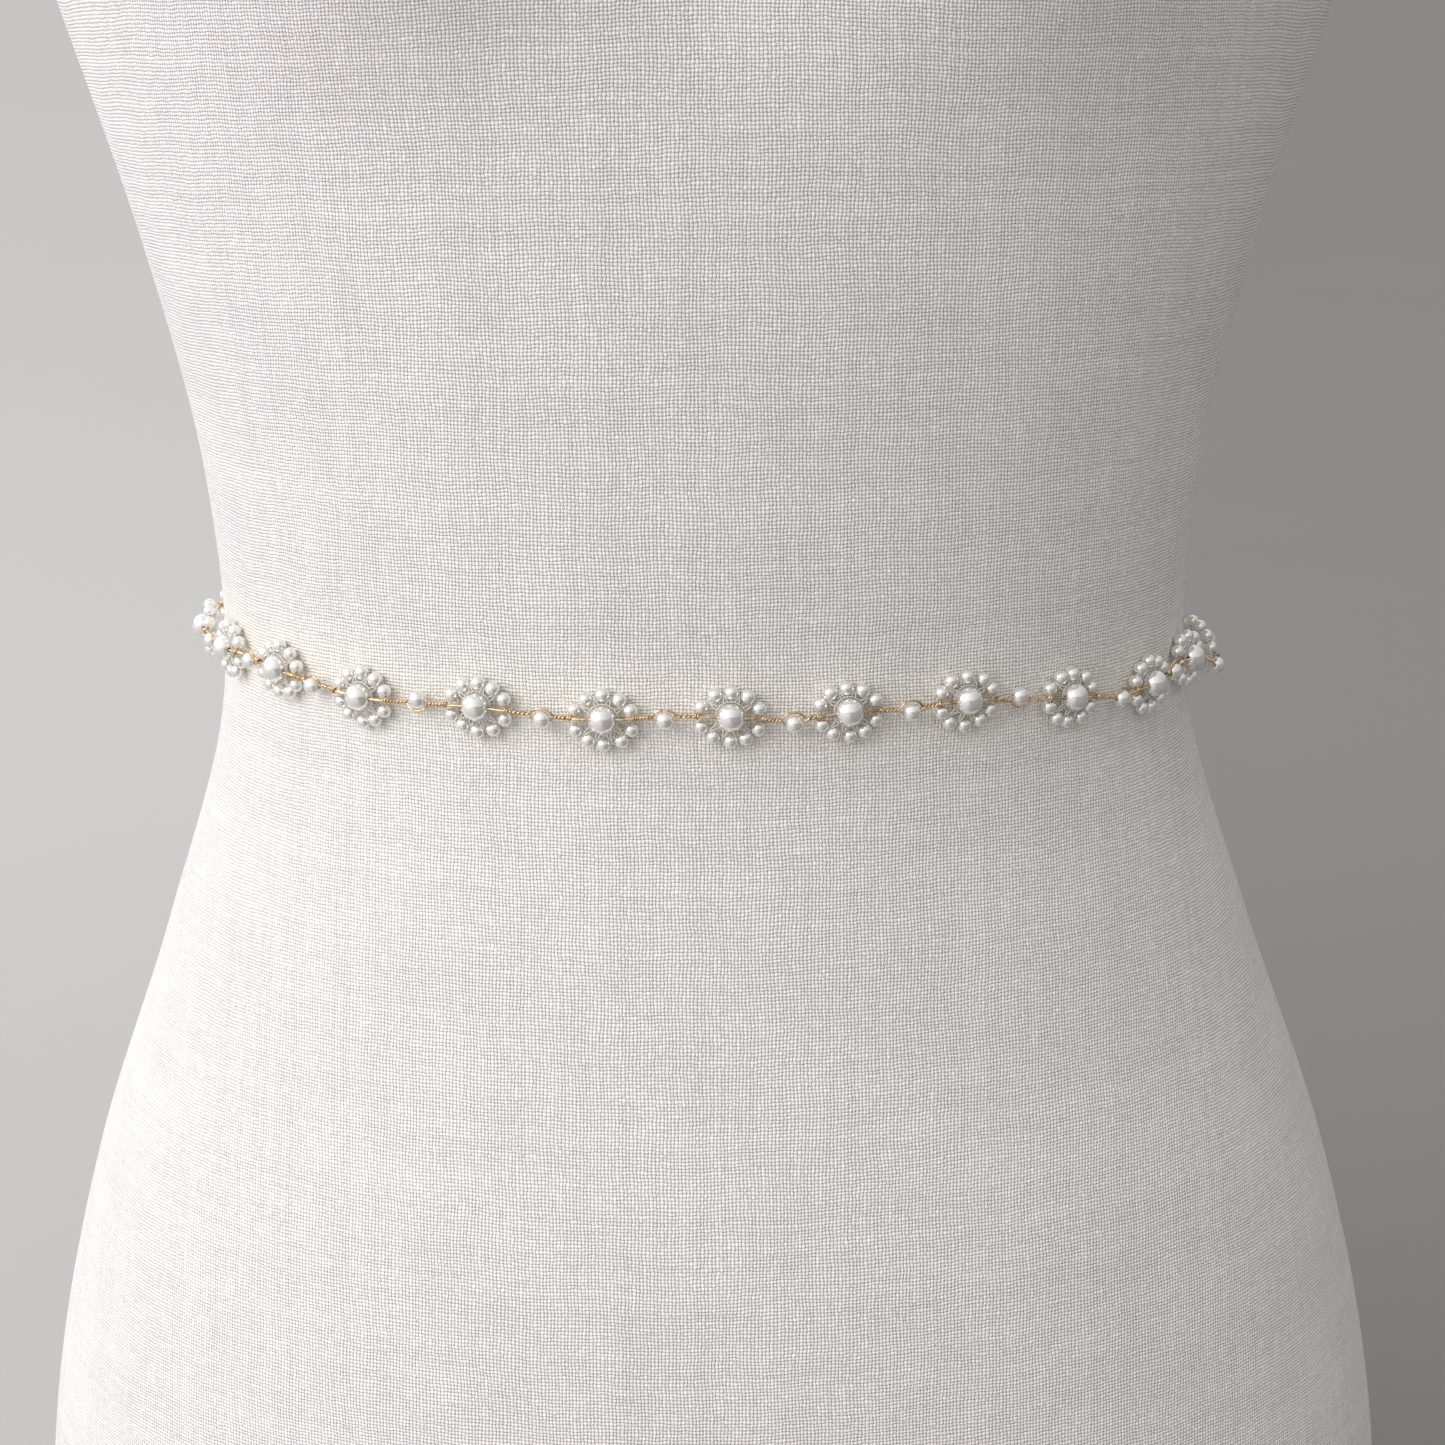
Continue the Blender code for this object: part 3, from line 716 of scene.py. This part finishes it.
def wire_material():
    """Gold-plated craft wire, its colour mixed at random by noise between gold and painted shade."""
    g = Graph("gold_wire")
    place = g.node("ShaderNodeTexCoord").outputs["Object"]
    tone = g.ramp(g.noise(place, 700.0, 3.0), 0.3, 0.7)
    # The dark end is a painted shaded copy of the gold, standing in for the shade in the rope's gaps;
    # noise mixes it in at random.
    g.set(Base_Color=g.mix(tone, colour(0.46, 0.29, 0.15), colour(0.91, 0.71, 0.46)))
    g.set(Roughness=g.ramp(g.noise(place, 3000.0, 2.0), 0.3, 0.7, 0.16, 0.28))
    g.set(Metallic=1.0, Coat_Weight=0.4, Coat_Roughness=0.06)
    g.bump(g.noise(place, 6000.0, 2.0), 0.00001, 0.4)
    return g.material


def thread_material():
    """Clear nylon thread: milky and see-through, with a gloss."""
    g = Graph("clear_thread")
    place = g.node("ShaderNodeTexCoord").outputs["Object"]
    tone = g.noise(place, 900.0, 2.0)
    g.set(Base_Color=g.mix(tone, colour(0.99, 0.97, 0.91), colour(0.97, 0.94, 0.86)))
    g.set(Roughness=0.12, Specular_IOR_Level=0.8, Alpha=0.5)
    return g.material


def wood_material():
    """Pale beech with fine grain along X."""
    g = Graph("pale_beech")
    place = g.node("ShaderNodeTexCoord").outputs["Object"]
    stretched = g.node("ShaderNodeMapping", {"Vector": place, "Scale": (6.0, 90.0, 90.0)})
    grain = g.noise(stretched.outputs[0], 1.0, 6.0, 0.6)
    fleck = g.node("ShaderNodeMapping", {"Vector": place, "Scale": (120.0, 1400.0, 1400.0)})
    flecks = g.ramp(g.noise(fleck.outputs[0], 1.0, 2.0), 0.62, 0.75)
    wood = g.mix(g.ramp(grain, 0.3, 0.7), colour(0.50, 0.33, 0.19), colour(0.66, 0.48, 0.31))
    g.set(Base_Color=g.mix(g.math("MULTIPLY", flecks, 0.5), wood, colour(0.36, 0.22, 0.12)))
    g.set(Roughness=g.ramp(grain, 0.3, 0.7, 0.42, 0.55))
    g.bump(g.math("ADD", grain, g.math("MULTIPLY", flecks, -0.5)), 0.00012, 0.5)
    return g.material


canvas = canvas_material()
ivory = pearl_material()
gold = wire_material()
nylon = thread_material()
beech = wood_material()


# The dress form


def skin_angles():
    """Column angles, starting at the centre back, with extra ones beside the seams."""
    even = np.linspace(-math.pi, math.pi, SKIN_COLUMNS, endpoint=False)
    half_girth = {-math.pi: 0.118, -math.pi / 2: 0.150, math.pi / 2: 0.150}
    extra = [
        (seam + reach / half_girth[seam] + math.pi) % (2 * math.pi) - math.pi
        for seam in SEAM_ANGLES
        for reach in SEAM_COLUMNS
    ]
    angles = np.sort(np.concatenate([even, extra]))
    apart = np.concatenate([[True], np.diff(angles) > 1e-4])
    return angles[apart]


def seam_groove(points, angles):
    """How far the sewn seams draw the skin in, from each point's distance to them."""
    groove = np.zeros(points.shape[:2])
    for seam in SEAM_ANGLES:
        column = np.argmin(np.abs(angles - seam))
        away = np.linalg.norm(points - points[:, column : column + 1], axis=2)
        groove += SEAM_DEPTH * np.exp(-((away / SEAM_WIDTH) ** 2))
    return groove


def inset(ring, distance):
    middle = ring.mean(axis=0)
    reach = np.linalg.norm(ring - middle, axis=1, keepdims=True)
    return middle + (ring - middle) * (1 - distance / reach)


def edge_rings(ring, rounding, height):
    """Rings that round an edge off, from the skin's last ring inwards."""
    rings = []
    for turn in np.linspace(0, math.pi / 2, EDGE_RINGS + 1)[1:]:
        edge = inset(ring, rounding * (1 - math.cos(turn)))
        edge[:, 2] += height * math.sin(turn)
        rings.append(edge)
    return rings


def make_torso():
    levels = [np.linspace(low, high, count, endpoint=False) for low, high, count in SKIN_SPANS]
    levels = np.append(np.concatenate(levels), SKIN_SPANS[-1][1])
    angles = skin_angles()
    points = form_surface(angles[None, :], levels[:, None])
    normals = skin_normal(angles[None, :], levels[:, None])
    points = points - normals * seam_groove(points, angles)[..., None]
    hem = BOARD_THICKNESS + SEAM_GAP - (levels[0] + WAIST_HEIGHT)
    below = edge_rings(points[0], HEM_ROUNDING, hem)[::-1]
    neck_top = FORM_SECTIONS[-1, LEVEL] * MM - levels[-1]
    above = edge_rings(points[-1], NECK_ROUNDING, neck_top)
    rings = np.concatenate([below, points, above])
    rows, columns = rings.shape[:2]
    faces = grid_faces(rows, columns)
    faces.append(tuple(range(columns))[::-1])
    faces.append(tuple((rows - 1) * columns + i for i in range(columns)))
    mesh = bpy.data.meshes.new("canvas_torso")
    mesh.from_pydata(rings.reshape(-1, 3).tolist(), [], faces)
    mesh.shade_smooth()
    mesh.set_sharp_from_angle(angle=math.radians(60))
    lay_cloth(mesh, rings, angles)
    # Painted bounce light along the belt and round the flowers.
    paint_belt_bounce_light(mesh)
    mesh.materials.append(canvas)
    torso = placed("canvas_torso", mesh, "canvas", "form_torso")


def lay_cloth(mesh, rings, angles):
    """The cloth's own metres: along each ring from the centre front, and up from the waist."""
    rows, columns = rings.shape[:2]
    closed = np.concatenate([rings, rings[:, :1]], axis=1)
    steps = np.linalg.norm(np.diff(closed, axis=1), axis=2)
    along = np.concatenate([np.zeros((rows, 1)), np.cumsum(steps, axis=1)], axis=1)
    along -= along[:, [np.argmin(np.abs(angles))]]
    climb = np.linalg.norm(np.diff(closed, axis=0), axis=2)
    up = np.concatenate([np.zeros((1, columns + 1)), np.cumsum(climb, axis=0)])
    up -= up[[np.argmin(np.abs(rings[:, 0, 2] - WAIST_HEIGHT))]]
    cloth = np.stack([along, up], axis=-1)
    quads = np.stack([cloth[:-1, :-1], cloth[:-1, 1:], cloth[1:, 1:], cloth[1:, :-1]], axis=2)
    ends = rings[[0, -1]][:, :, :2]
    caps = np.concatenate([ends[0][::-1], ends[1]])
    layer = mesh.uv_layers.new(name="cloth")
    values = np.concatenate([quads.reshape(-1, 2), caps])
    layer.data.foreach_set("uv", values.astype(np.float32).ravel())


def paint_belt_bounce_light(mesh):
    """Painted bounce light: canvas painted lighter, warmer by the belt and round each flower."""
    count = len(mesh.vertices)
    places = np.zeros(count * 3, np.float32)
    mesh.vertices.foreach_get("co", places)
    places = places.reshape(-1, 3)
    line = WAIST_HEIGHT + BELT_LEVEL + BELT_TILT * places[:, 0]
    band = np.exp(-(((places[:, 2] - line) / 0.009) ** 2))
    centres = np.array([route.point(flower_at(number), 0.0) for number in range(FLOWERS)])
    near = np.full(count, np.inf)
    for centre in centres:
        near = np.minimum(near, np.linalg.norm(places - centre, axis=1))
    # Painted bounce light from the wire and pearls; near the flowers it also lifts the shade beneath
    # them.
    painted_bounce_light = 0.45 * band + 0.55 * np.exp(-((near / 0.011) ** 2))
    mesh.attributes.new("painted_bounce_light", "FLOAT", "POINT").data.foreach_set("value", painted_bounce_light)


def make_base_board():
    """The wooden board that closes the form below, with rounded edges."""
    angles = np.linspace(-math.pi, math.pi, 160, endpoint=False)
    outline = inset(form_surface(angles, -0.326), BOARD_INSET)
    rings = []
    for turn in np.linspace(0, math.pi / 2, 5):
        ring = inset(outline, BOARD_EDGE * (1 - math.sin(turn)))
        ring[:, 2] = BOARD_EDGE * (1 - math.cos(turn))
        rings.append(ring)
    for turn in np.linspace(0, math.pi / 2, 5):
        ring = inset(outline, BOARD_EDGE * (1 - math.cos(turn)))
        ring[:, 2] = BOARD_THICKNESS - BOARD_EDGE * (1 - math.sin(turn))
        rings.append(ring)
    shape = Shape()
    faces = grid_faces(len(rings), len(angles))
    faces.append(tuple(range(len(angles)))[::-1])
    faces.append(tuple((len(rings) - 1) * len(angles) + i for i in range(len(angles))))
    shape.add(np.concatenate(rings), faces)
    shape.piece("base_board", [beech], "wood", "form_base_board")


def make_neck_cap():
    """A turned wooden cap with a rounded edge and a shallow turned groove."""
    low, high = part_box("form_neck_cap")
    centre = (low + high) / 2
    top = NECK_CAP_THICKNESS
    profile = [(NECK_CAP_RADIUS, 0.0)]
    for turn in np.linspace(0, math.pi / 2, 9):
        out = NECK_CAP_RADIUS - NECK_CAP_ROUNDING * (1 - math.cos(turn))
        profile.append((out, top - NECK_CAP_ROUNDING * (1 - math.sin(turn))))
    for out, down in ((0.040, 0.0), (0.0392, 0.0007), (0.0385, 0.0009), (0.0378, 0.0007), (0.037, 0.0)):
        profile.append((out, top - down))
    profile.append((0.004, top))
    around = np.linspace(0, 2 * math.pi, 96, endpoint=False)
    rings = [
        [(r * math.cos(a) + centre.x, r * math.sin(a) + centre.y, z + low.z) for a in around]
        for r, z in profile
    ]
    shape = Shape()
    faces = grid_faces(len(rings), len(around))
    faces.append(tuple(range(len(around)))[::-1])
    faces.append(tuple((len(rings) - 1) * len(around) + i for i in range(len(around))))
    shape.add(np.array(rings).reshape(-1, 3), faces)
    shape.piece("neck_cap", [beech], "wood", "form_neck_cap")


# Pearls


def petal_places():
    """Petal centres round the ring, strayed a little, in the flower's own axes."""
    quarter = list(PETAL_ANGLES)
    upper = quarter + [180 - a for a in reversed(quarter[:-1])]
    angles = upper + [a + 180 for a in upper]
    places = []
    for angle in angles:
        turn = math.radians(angle + random.uniform(-PETAL_TURN, PETAL_TURN))
        out = random.uniform(-PETAL_STRAY_OUT, PETAL_STRAY_OUT)
        off = random.uniform(-PETAL_STRAY_OFF, PETAL_STRAY_OFF)
        across = (RING_HALF_WIDTH + out) * math.cos(turn)
        up = (RING_HALF_HEIGHT + out) * math.sin(turn)
        places.append(Vector((across, off, up)))
    return places


def smooth_loop(points, steps):
    """A closed smooth curve through points."""
    count = len(points)
    curve = []
    for i in range(count):
        a, b, c, d = (points[(i + k) % count] for k in (-1, 0, 1, 2))
        for t in np.arange(steps) / steps:
            curve.append(
                0.5
                * (
                    2 * b
                    + (c - a) * t
                    + (2 * a - 5 * b + 4 * c - d) * t**2
                    + (3 * b - a - 3 * c + d) * t**3
                )
            )
    return curve


def make_flower(number):
    """A centre pearl, ten petals and the clear thread that ties them."""
    shape = Shape()
    matrix = route.frame(flower_at(number), WIRE_HEIGHT_AT_FLOWER)
    points, faces = pearl(CENTRE_PEARL_RADIUS + NACRE, BORE_RADIUS, 40, 22)
    shape.add(transformed(points, matrix), faces)
    ring = Vector((0.0, WIRE_HEIGHT_AT_FLOWER - RING_HEIGHT, -RING_DROP))
    places = [ring + place for place in petal_places()]
    for i, place in enumerate(places):
        size = PETAL_RADIUS * random.uniform(1 - PETAL_SIZE_STRAY, 1 + PETAL_SIZE_STRAY) + PETAL_NACRE
        points, faces = pearl(size, PETAL_BORE_RADIUS, 24, 13)
        along = (places[(i + 1) % PETALS] - places[i - 1]).normalized()
        turn = along.to_track_quat("X", "Z").to_matrix().to_4x4()
        local = Matrix.Translation(place) @ turn
        shape.add(transformed(points, matrix @ local), faces)
    add_threads(shape, matrix, places, ring)
    name = f"flower_{number + 1:02d}"
    shape.piece(name, [ivory, nylon], "pearl", f"pearl_flower_{number + 1:02d}")


def add_threads(shape, matrix, places, ring):
    """The thread through the petals, loops inside them and round the centre pearl, and ties."""

    def lay(points, closed):
        shape.add(*swept([matrix @ point for point in points], THREAD_RADIUS, 6, closed), 1)

    lay(smooth_loop(places, 5), True)
    lay(smooth_loop([ring + (place - ring) * SECOND_LOOP_SHARE for place in places], 4), True)
    lay([round_centre(turn) for turn in np.linspace(0, 2 * math.pi, 36, endpoint=False)], True)
    for i in range(PETALS):
        gap = (places[i] + places[(i + 1) % PETALS]) / 2
        if abs(gap.z - ring.z) < 0.0015:
            continue
        for lean in (-TIE_LEAN, TIE_LEAN):
            end = round_centre(math.atan2(gap.z, gap.x) + lean)
            middle = (gap + end) / 2 + Vector((0.0, -TIE_ARCH, 0.0))
            lay(smooth_open([gap, middle, end], 4), False)


def round_centre(turn):
    """A point of the loop that lies behind the centre pearl's widest part."""
    radius = CENTRE_PEARL_RADIUS + CENTRE_LOOP_OUT
    return Vector((radius * math.cos(turn), CENTRE_LOOP_BEHIND, radius * math.sin(turn)))


def smooth_open(points, steps):
    """An open smooth curve through three points."""
    a, b, c = points
    curve = []
    for t in np.linspace(0, 1, 2 * steps + 1):
        curve.append(a * (2 * t - 1) * (t - 1) + b * 4 * t * (1 - t) + c * t * (2 * t - 1))
    return curve


def make_spacer(number):
    shape = Shape()
    size = SPACER_RADIUS * random.uniform(*SPACER_SIZE_RANGE) + NACRE
    points, faces = pearl(size, BORE_RADIUS * 0.8, 32, 18)
    matrix = route.frame(spacer_at(number), WIRE_HEIGHT_AT_SPACER, spacer_shift(number))
    shape.add(transformed(points, matrix), faces)
    name = f"spacer_{number + 1:02d}"
    shape.piece(name, [ivory], "pearl", f"spacer_pearl_{number + 1:02d}")


# The twisted wire


def twisted(start, end, from_turn, to_turn):
    """Rows of a strand's path in a twisted stretch, which turns by whole pitches."""
    length = end - start
    need = to_turn - from_turn
    whole = round((length / TWIST_TURN) - need / (2 * math.pi))
    total = need + 2 * math.pi * whole
    count = max(4, int(abs(total) / (2 * math.pi) * TWIST_STEPS))
    rows = []
    for t in np.arange(count) / count:
        turn = from_turn + total * t
        rows.append(
            (start + length * t, TWIST_RADIUS * math.cos(turn), TWIST_RADIUS * math.sin(turn))
        )
    return rows


def straight(start, end, off, step=0.0009):
    count = max(2, int((end - start) / step))
    return [(start + (end - start) * t, off, 0.0) for t in np.arange(count) / count]


def eased(t):
    return t * t * (3 - 2 * t)


def through_pearl(at, shift, side):
    """The strand that goes through a spacer: it steps to the pearl's hole and back."""
    rows = []
    for t in np.linspace(-1, 1, 27)[:-1]:
        away = abs(t) * SPACER_STRANDS_TWISTED
        reach = SPACER_STRANDS_TWISTED - SPACER_STRANDS_APART
        share = eased(min(1.0, (SPACER_STRANDS_TWISTED - away) / reach))
        start = side * STRAND_RADIUS
        rows.append((at + t * SPACER_STRANDS_TWISTED, 0.0, start + (shift - start) * share))
    return rows


def round_pearl(at, side, size):
    """The strand that bows round a spacer on the side away from its pearl."""
    rise = BOW_RISE * size - STRAND_RADIUS
    rows = [(at - SPACER_STRANDS_TWISTED, 0.0, -side * STRAND_RADIUS)]
    for turn in np.linspace(0, math.pi, 23):
        along = at - BOW_HALF_WIDTH * math.cos(turn)
        bow = math.sin(turn)
        rows.append((along, BOW_LEAN * bow, -side * (STRAND_RADIUS + rise * bow)))
    return rows


def strand_rows(strand):
    """Both strands' paths by length along the belt; strand is +1 or -1.

    Inside the flowers the strands lie one behind the other. At a spacer strand +1 goes
    through the pearl and strand -1 bows round it, on the side away from the pearl.
    """
    first, last = wire_ends()
    in_flower = 0.0 if strand > 0 else math.pi
    rows = []
    at, turn = first, in_flower
    for number in range(FLOWERS):
        centre = flower_at(number)
        start, end = centre - FLOWER_STRANDS_APART, centre + FLOWER_STRANDS_APART
        rows += twisted(at, start, turn, in_flower)
        rows += straight(start, end, strand * STRAND_RADIUS)
        if number == FLOWERS - 1:
            rows += twisted(end, last, in_flower, in_flower)
            break
        pearl_at, shift = spacer_at(number), spacer_shift(number)
        side = math.copysign(1, shift)
        turn = math.pi / 2 * side * strand
        rows += twisted(end, pearl_at - SPACER_STRANDS_TWISTED, in_flower, turn)
        if strand > 0:
            rows += through_pearl(pearl_at, shift, side)
        else:
            rows += round_pearl(pearl_at, side, BOW_SIZES[number])
        at = pearl_at + SPACER_STRANDS_TWISTED
    return np.array(rows)


BOW_SIZES = [random.uniform(*BOW_SIZE_RANGE) for _ in range(FLOWERS)]


def softened(points):
    """Points moved a little towards their neighbours, so that bends are round."""
    for _ in range(2):
        points[1:-1] = 0.25 * points[:-2] + 0.5 * points[1:-1] + 0.25 * points[2:]
    return points


def make_wire():
    """One piece for each stretch of the wire, parted in the middle of spacer pearls."""
    strands = {}
    for strand in (1, -1):
        rows = strand_rows(strand)
        strands[strand] = rows[:, 0], softened(route.laid(rows))
    for first in range(0, FLOWERS, FLOWERS_ON_A_STRETCH):
        last = first + FLOWERS_ON_A_STRETCH - 1
        low = -math.inf if first == 0 else spacer_at(first - 1) + SEAM_GAP / 2
        high = math.inf if last == FLOWERS - 1 else spacer_at(last) - SEAM_GAP / 2
        shape = Shape()
        for along, points in strands.values():
            inside = (along > low) & (along < high)
            shape.add(*swept(points[inside], STRAND_RADIUS, 8))
        for flower in range(first, last + 1):
            for side in (-1, 1):
                start = flower_at(flower) + side * KNOT_FROM_FLOWER - KNOT_LENGTH / 2
                wrap_round(shape, start, start + KNOT_LENGTH, KNOT_TURNS)
        number = first // FLOWERS_ON_A_STRETCH + 1
        shape.piece(f"wire_{number}", [gold], "gold_wire", f"twisted_wire_{number}")


def wrap_round(shape, start, end, turns):
    """A close coil of strand round the wire, where its end is wound back."""
    count = int(turns * 16)
    rows = []
    for t in np.arange(count + 1) / count:
        turn = 2 * math.pi * turns * t
        reach = 2.2 * STRAND_RADIUS
        rows.append((start + (end - start) * t, reach * math.cos(turn), reach * math.sin(turn)))
    shape.add(*swept(route.laid(rows), STRAND_RADIUS * 0.8, 8))


def make_clasp():
    """The round eye and the hook that closes over its rim."""
    first, last = wire_ends()
    eye_at = first + route.length - SEAM_GAP - CLASP_WIRE_RADIUS - EYE_RADIUS
    matrix = route.frame(eye_at, CLASP_WIRE_HEIGHT)
    turns = np.linspace(0, 2 * math.pi, 48, endpoint=False)
    rim = [matrix @ Vector((EYE_RADIUS * math.cos(a), 0.0, EYE_RADIUS * math.sin(a))) for a in turns]
    eye = Shape()
    eye.add(*swept(rim, CLASP_WIRE_RADIUS, 12, True))
    wrap_round(eye, first + CLASP_COIL_FROM, first + CLASP_COIL_TO, CLASP_COIL_TURNS)
    eye.piece("eye_ring", [gold], "gold_wire", "clasp_eye")

    rim_at = eye_at - EYE_RADIUS
    start = last + SEAM_GAP
    top = CLASP_WIRE_HEIGHT + HOOK_RADIUS
    line = [(start, CLASP_WIRE_HEIGHT)]
    for t in np.linspace(0, 1, 9)[1:]:
        line.append((start + HOOK_RISE * t, CLASP_WIRE_HEIGHT + HOOK_RADIUS * eased(t)))
    line.append(((start + HOOK_RISE + rim_at) / 2, top))
    for turn in np.linspace(math.pi / 2, -math.pi / 2, 15):
        at = rim_at + HOOK_RADIUS * math.cos(turn)
        line.append((at, CLASP_WIRE_HEIGHT + HOOK_RADIUS * math.sin(turn)))
    line.append((rim_at - HOOK_RETURN, CLASP_WIRE_HEIGHT - HOOK_RADIUS))
    at, height = np.array(line).T
    hook = Shape()
    hook.add(*swept(route.point(at, height), CLASP_WIRE_RADIUS, 12))
    wrap_round(hook, last - CLASP_COIL_TO, last - CLASP_COIL_FROM, CLASP_COIL_TURNS)
    hook.piece("hook_wire", [gold], "gold_wire", "clasp_hook")


# The camera, the light and the floor


def make_camera():
    tilt = math.radians(CAMERA_ELEVATION)
    roll = math.radians(CAMERA_ROLL)
    back = Vector((0.0, -math.cos(tilt), math.sin(tilt)))
    right = Vector((1.0, 0.0, 0.0))
    upward = back.cross(right)
    rolled_right = right * math.cos(roll) - upward * math.sin(roll)
    rolled_up = right * math.sin(roll) + upward * math.cos(roll)
    data = bpy.data.cameras.new("camera")
    data.sensor_width = SENSOR_WIDTH
    data.lens = SENSOR_WIDTH * FOCAL_LENGTH / PHOTO_SIDE
    data.clip_start = 0.01
    data.clip_end = 50.0
    camera = bpy.data.objects.new("camera", data)
    bpy.context.scene.collection.objects.link(camera)
    axes = Matrix((rolled_right, rolled_up, back)).transposed().to_4x4()
    axes.translation = CAMERA_TARGET + back * CAMERA_DISTANCE
    camera.matrix_world = axes
    bpy.context.scene.camera = camera


def make_window():
    """A large soft light from the left, which the camera doesn't see."""
    data = bpy.data.lights.new("window", "AREA")
    data.shape = "RECTANGLE"
    data.size, data.size_y = WINDOW_SIZE
    data.energy = WINDOW_POWER
    data.color = WINDOW_TONE
    light = bpy.data.objects.new("window", data)
    bpy.context.scene.collection.objects.link(light)
    light.visible_camera = False
    light.location = WINDOW_PLACE
    aim = Vector(WINDOW_AIM) - Vector(WINDOW_PLACE)
    light.rotation_euler = aim.to_track_quat("-Z", "Y").to_euler()


def make_world():
    """A plain room: one side bright with daylight, the other dim."""
    world = bpy.data.worlds.new("room")
    bpy.context.scene.world = world
    world.use_nodes = True
    tree = world.node_tree
    background = tree.nodes["Background"]
    place = tree.nodes.new("ShaderNodeTexCoord")
    parts = tree.nodes.new("ShaderNodeSeparateXYZ")
    tree.links.new(place.outputs["Generated"], parts.inputs[0])
    shade = tree.nodes.new("ShaderNodeMapRange")
    ends = {"From Min": -1.0, "From Max": 1.0, "To Min": DAYLIGHT, "To Max": DIM_SIDE}
    for key, value in ends.items():
        shade.inputs[key].default_value = value
    tree.links.new(parts.outputs["X"], shade.inputs["Value"])
    tint = tree.nodes.new("ShaderNodeCombineColor")
    for channel in ("Red", "Green", "Blue"):
        tree.links.new(shade.outputs[0], tint.inputs[channel])
    tree.links.new(tint.outputs[0], background.inputs["Color"])


def make_floor():
    """A floor rising to a low rim all round, with painted shade on the dim side and by the form."""
    columns = 96
    profile = [(reach, 0.0) for reach in (0.0001, 0.5, 1.2)]
    for share in np.linspace(0, 1, 25):
        out = FLOOR_FLAT + (FLOOR_REACH - FLOOR_FLAT) * share
        profile.append((out, FLOOR_RIM * share**3))
    around = np.linspace(0, 2 * math.pi, columns, endpoint=False)
    rings = [[(r * math.cos(a), r * math.sin(a), z) for a in around] for r, z in profile]
    mesh = bpy.data.meshes.new("floor")
    faces = grid_faces(len(rings), columns)
    faces.append(tuple(range(columns))[::-1])
    mesh.from_pydata(np.array(rings).reshape(-1, 3).tolist(), [], faces)
    mesh.shade_smooth()
    g = Graph("floor_painted_falloff")
    place = g.node("ShaderNodeTexCoord").outputs["Object"]
    parts = g.node("ShaderNodeSeparateXYZ", {"Vector": place})
    # Painted shade: the floor's colour fades from pale on the lit side to dark on the dim side.
    side = g.ramp(parts.outputs["X"], -FLOOR_SHADE_FADE, FLOOR_SHADE_FADE)
    mottle = g.math("SUBTRACT", g.noise(place, 3.0, 1.0), 0.5)
    side = g.math("ADD", side, g.math("MULTIPLY", mottle, 0.04))
    flat = g.node("ShaderNodeVectorMath", {0: place}, operation="LENGTH").outputs["Value"]
    # Painted shade: the floor is painted darker towards the form's foot.
    near = g.ramp(flat, 0.15, 1.3, 0.90, 1.0)
    near = g.node("ShaderNodeCombineColor", {"Red": near, "Green": near, "Blue": near})
    tone = g.mix(side, FLOOR_LIT_SIDE, FLOOR_PAINTED_SHADE)
    g.set(Base_Color=g.mix(1.0, tone, near.outputs[0], "MULTIPLY"))
    g.set(Roughness=0.9)
    mesh.materials.append(g.material)
    floor = bpy.data.objects.new("floor", mesh)
    bpy.context.scene.collection.objects.link(floor)


make_torso()
make_base_board()
make_neck_cap()
for flower_number in range(FLOWERS):
    make_flower(flower_number)
for spacer_number in range(FLOWERS - 1):
    make_spacer(spacer_number)
make_wire()
make_clasp()

make_camera()
make_world()
make_floor()
make_window()
bpy.context.scene.view_settings.view_transform = "Standard"
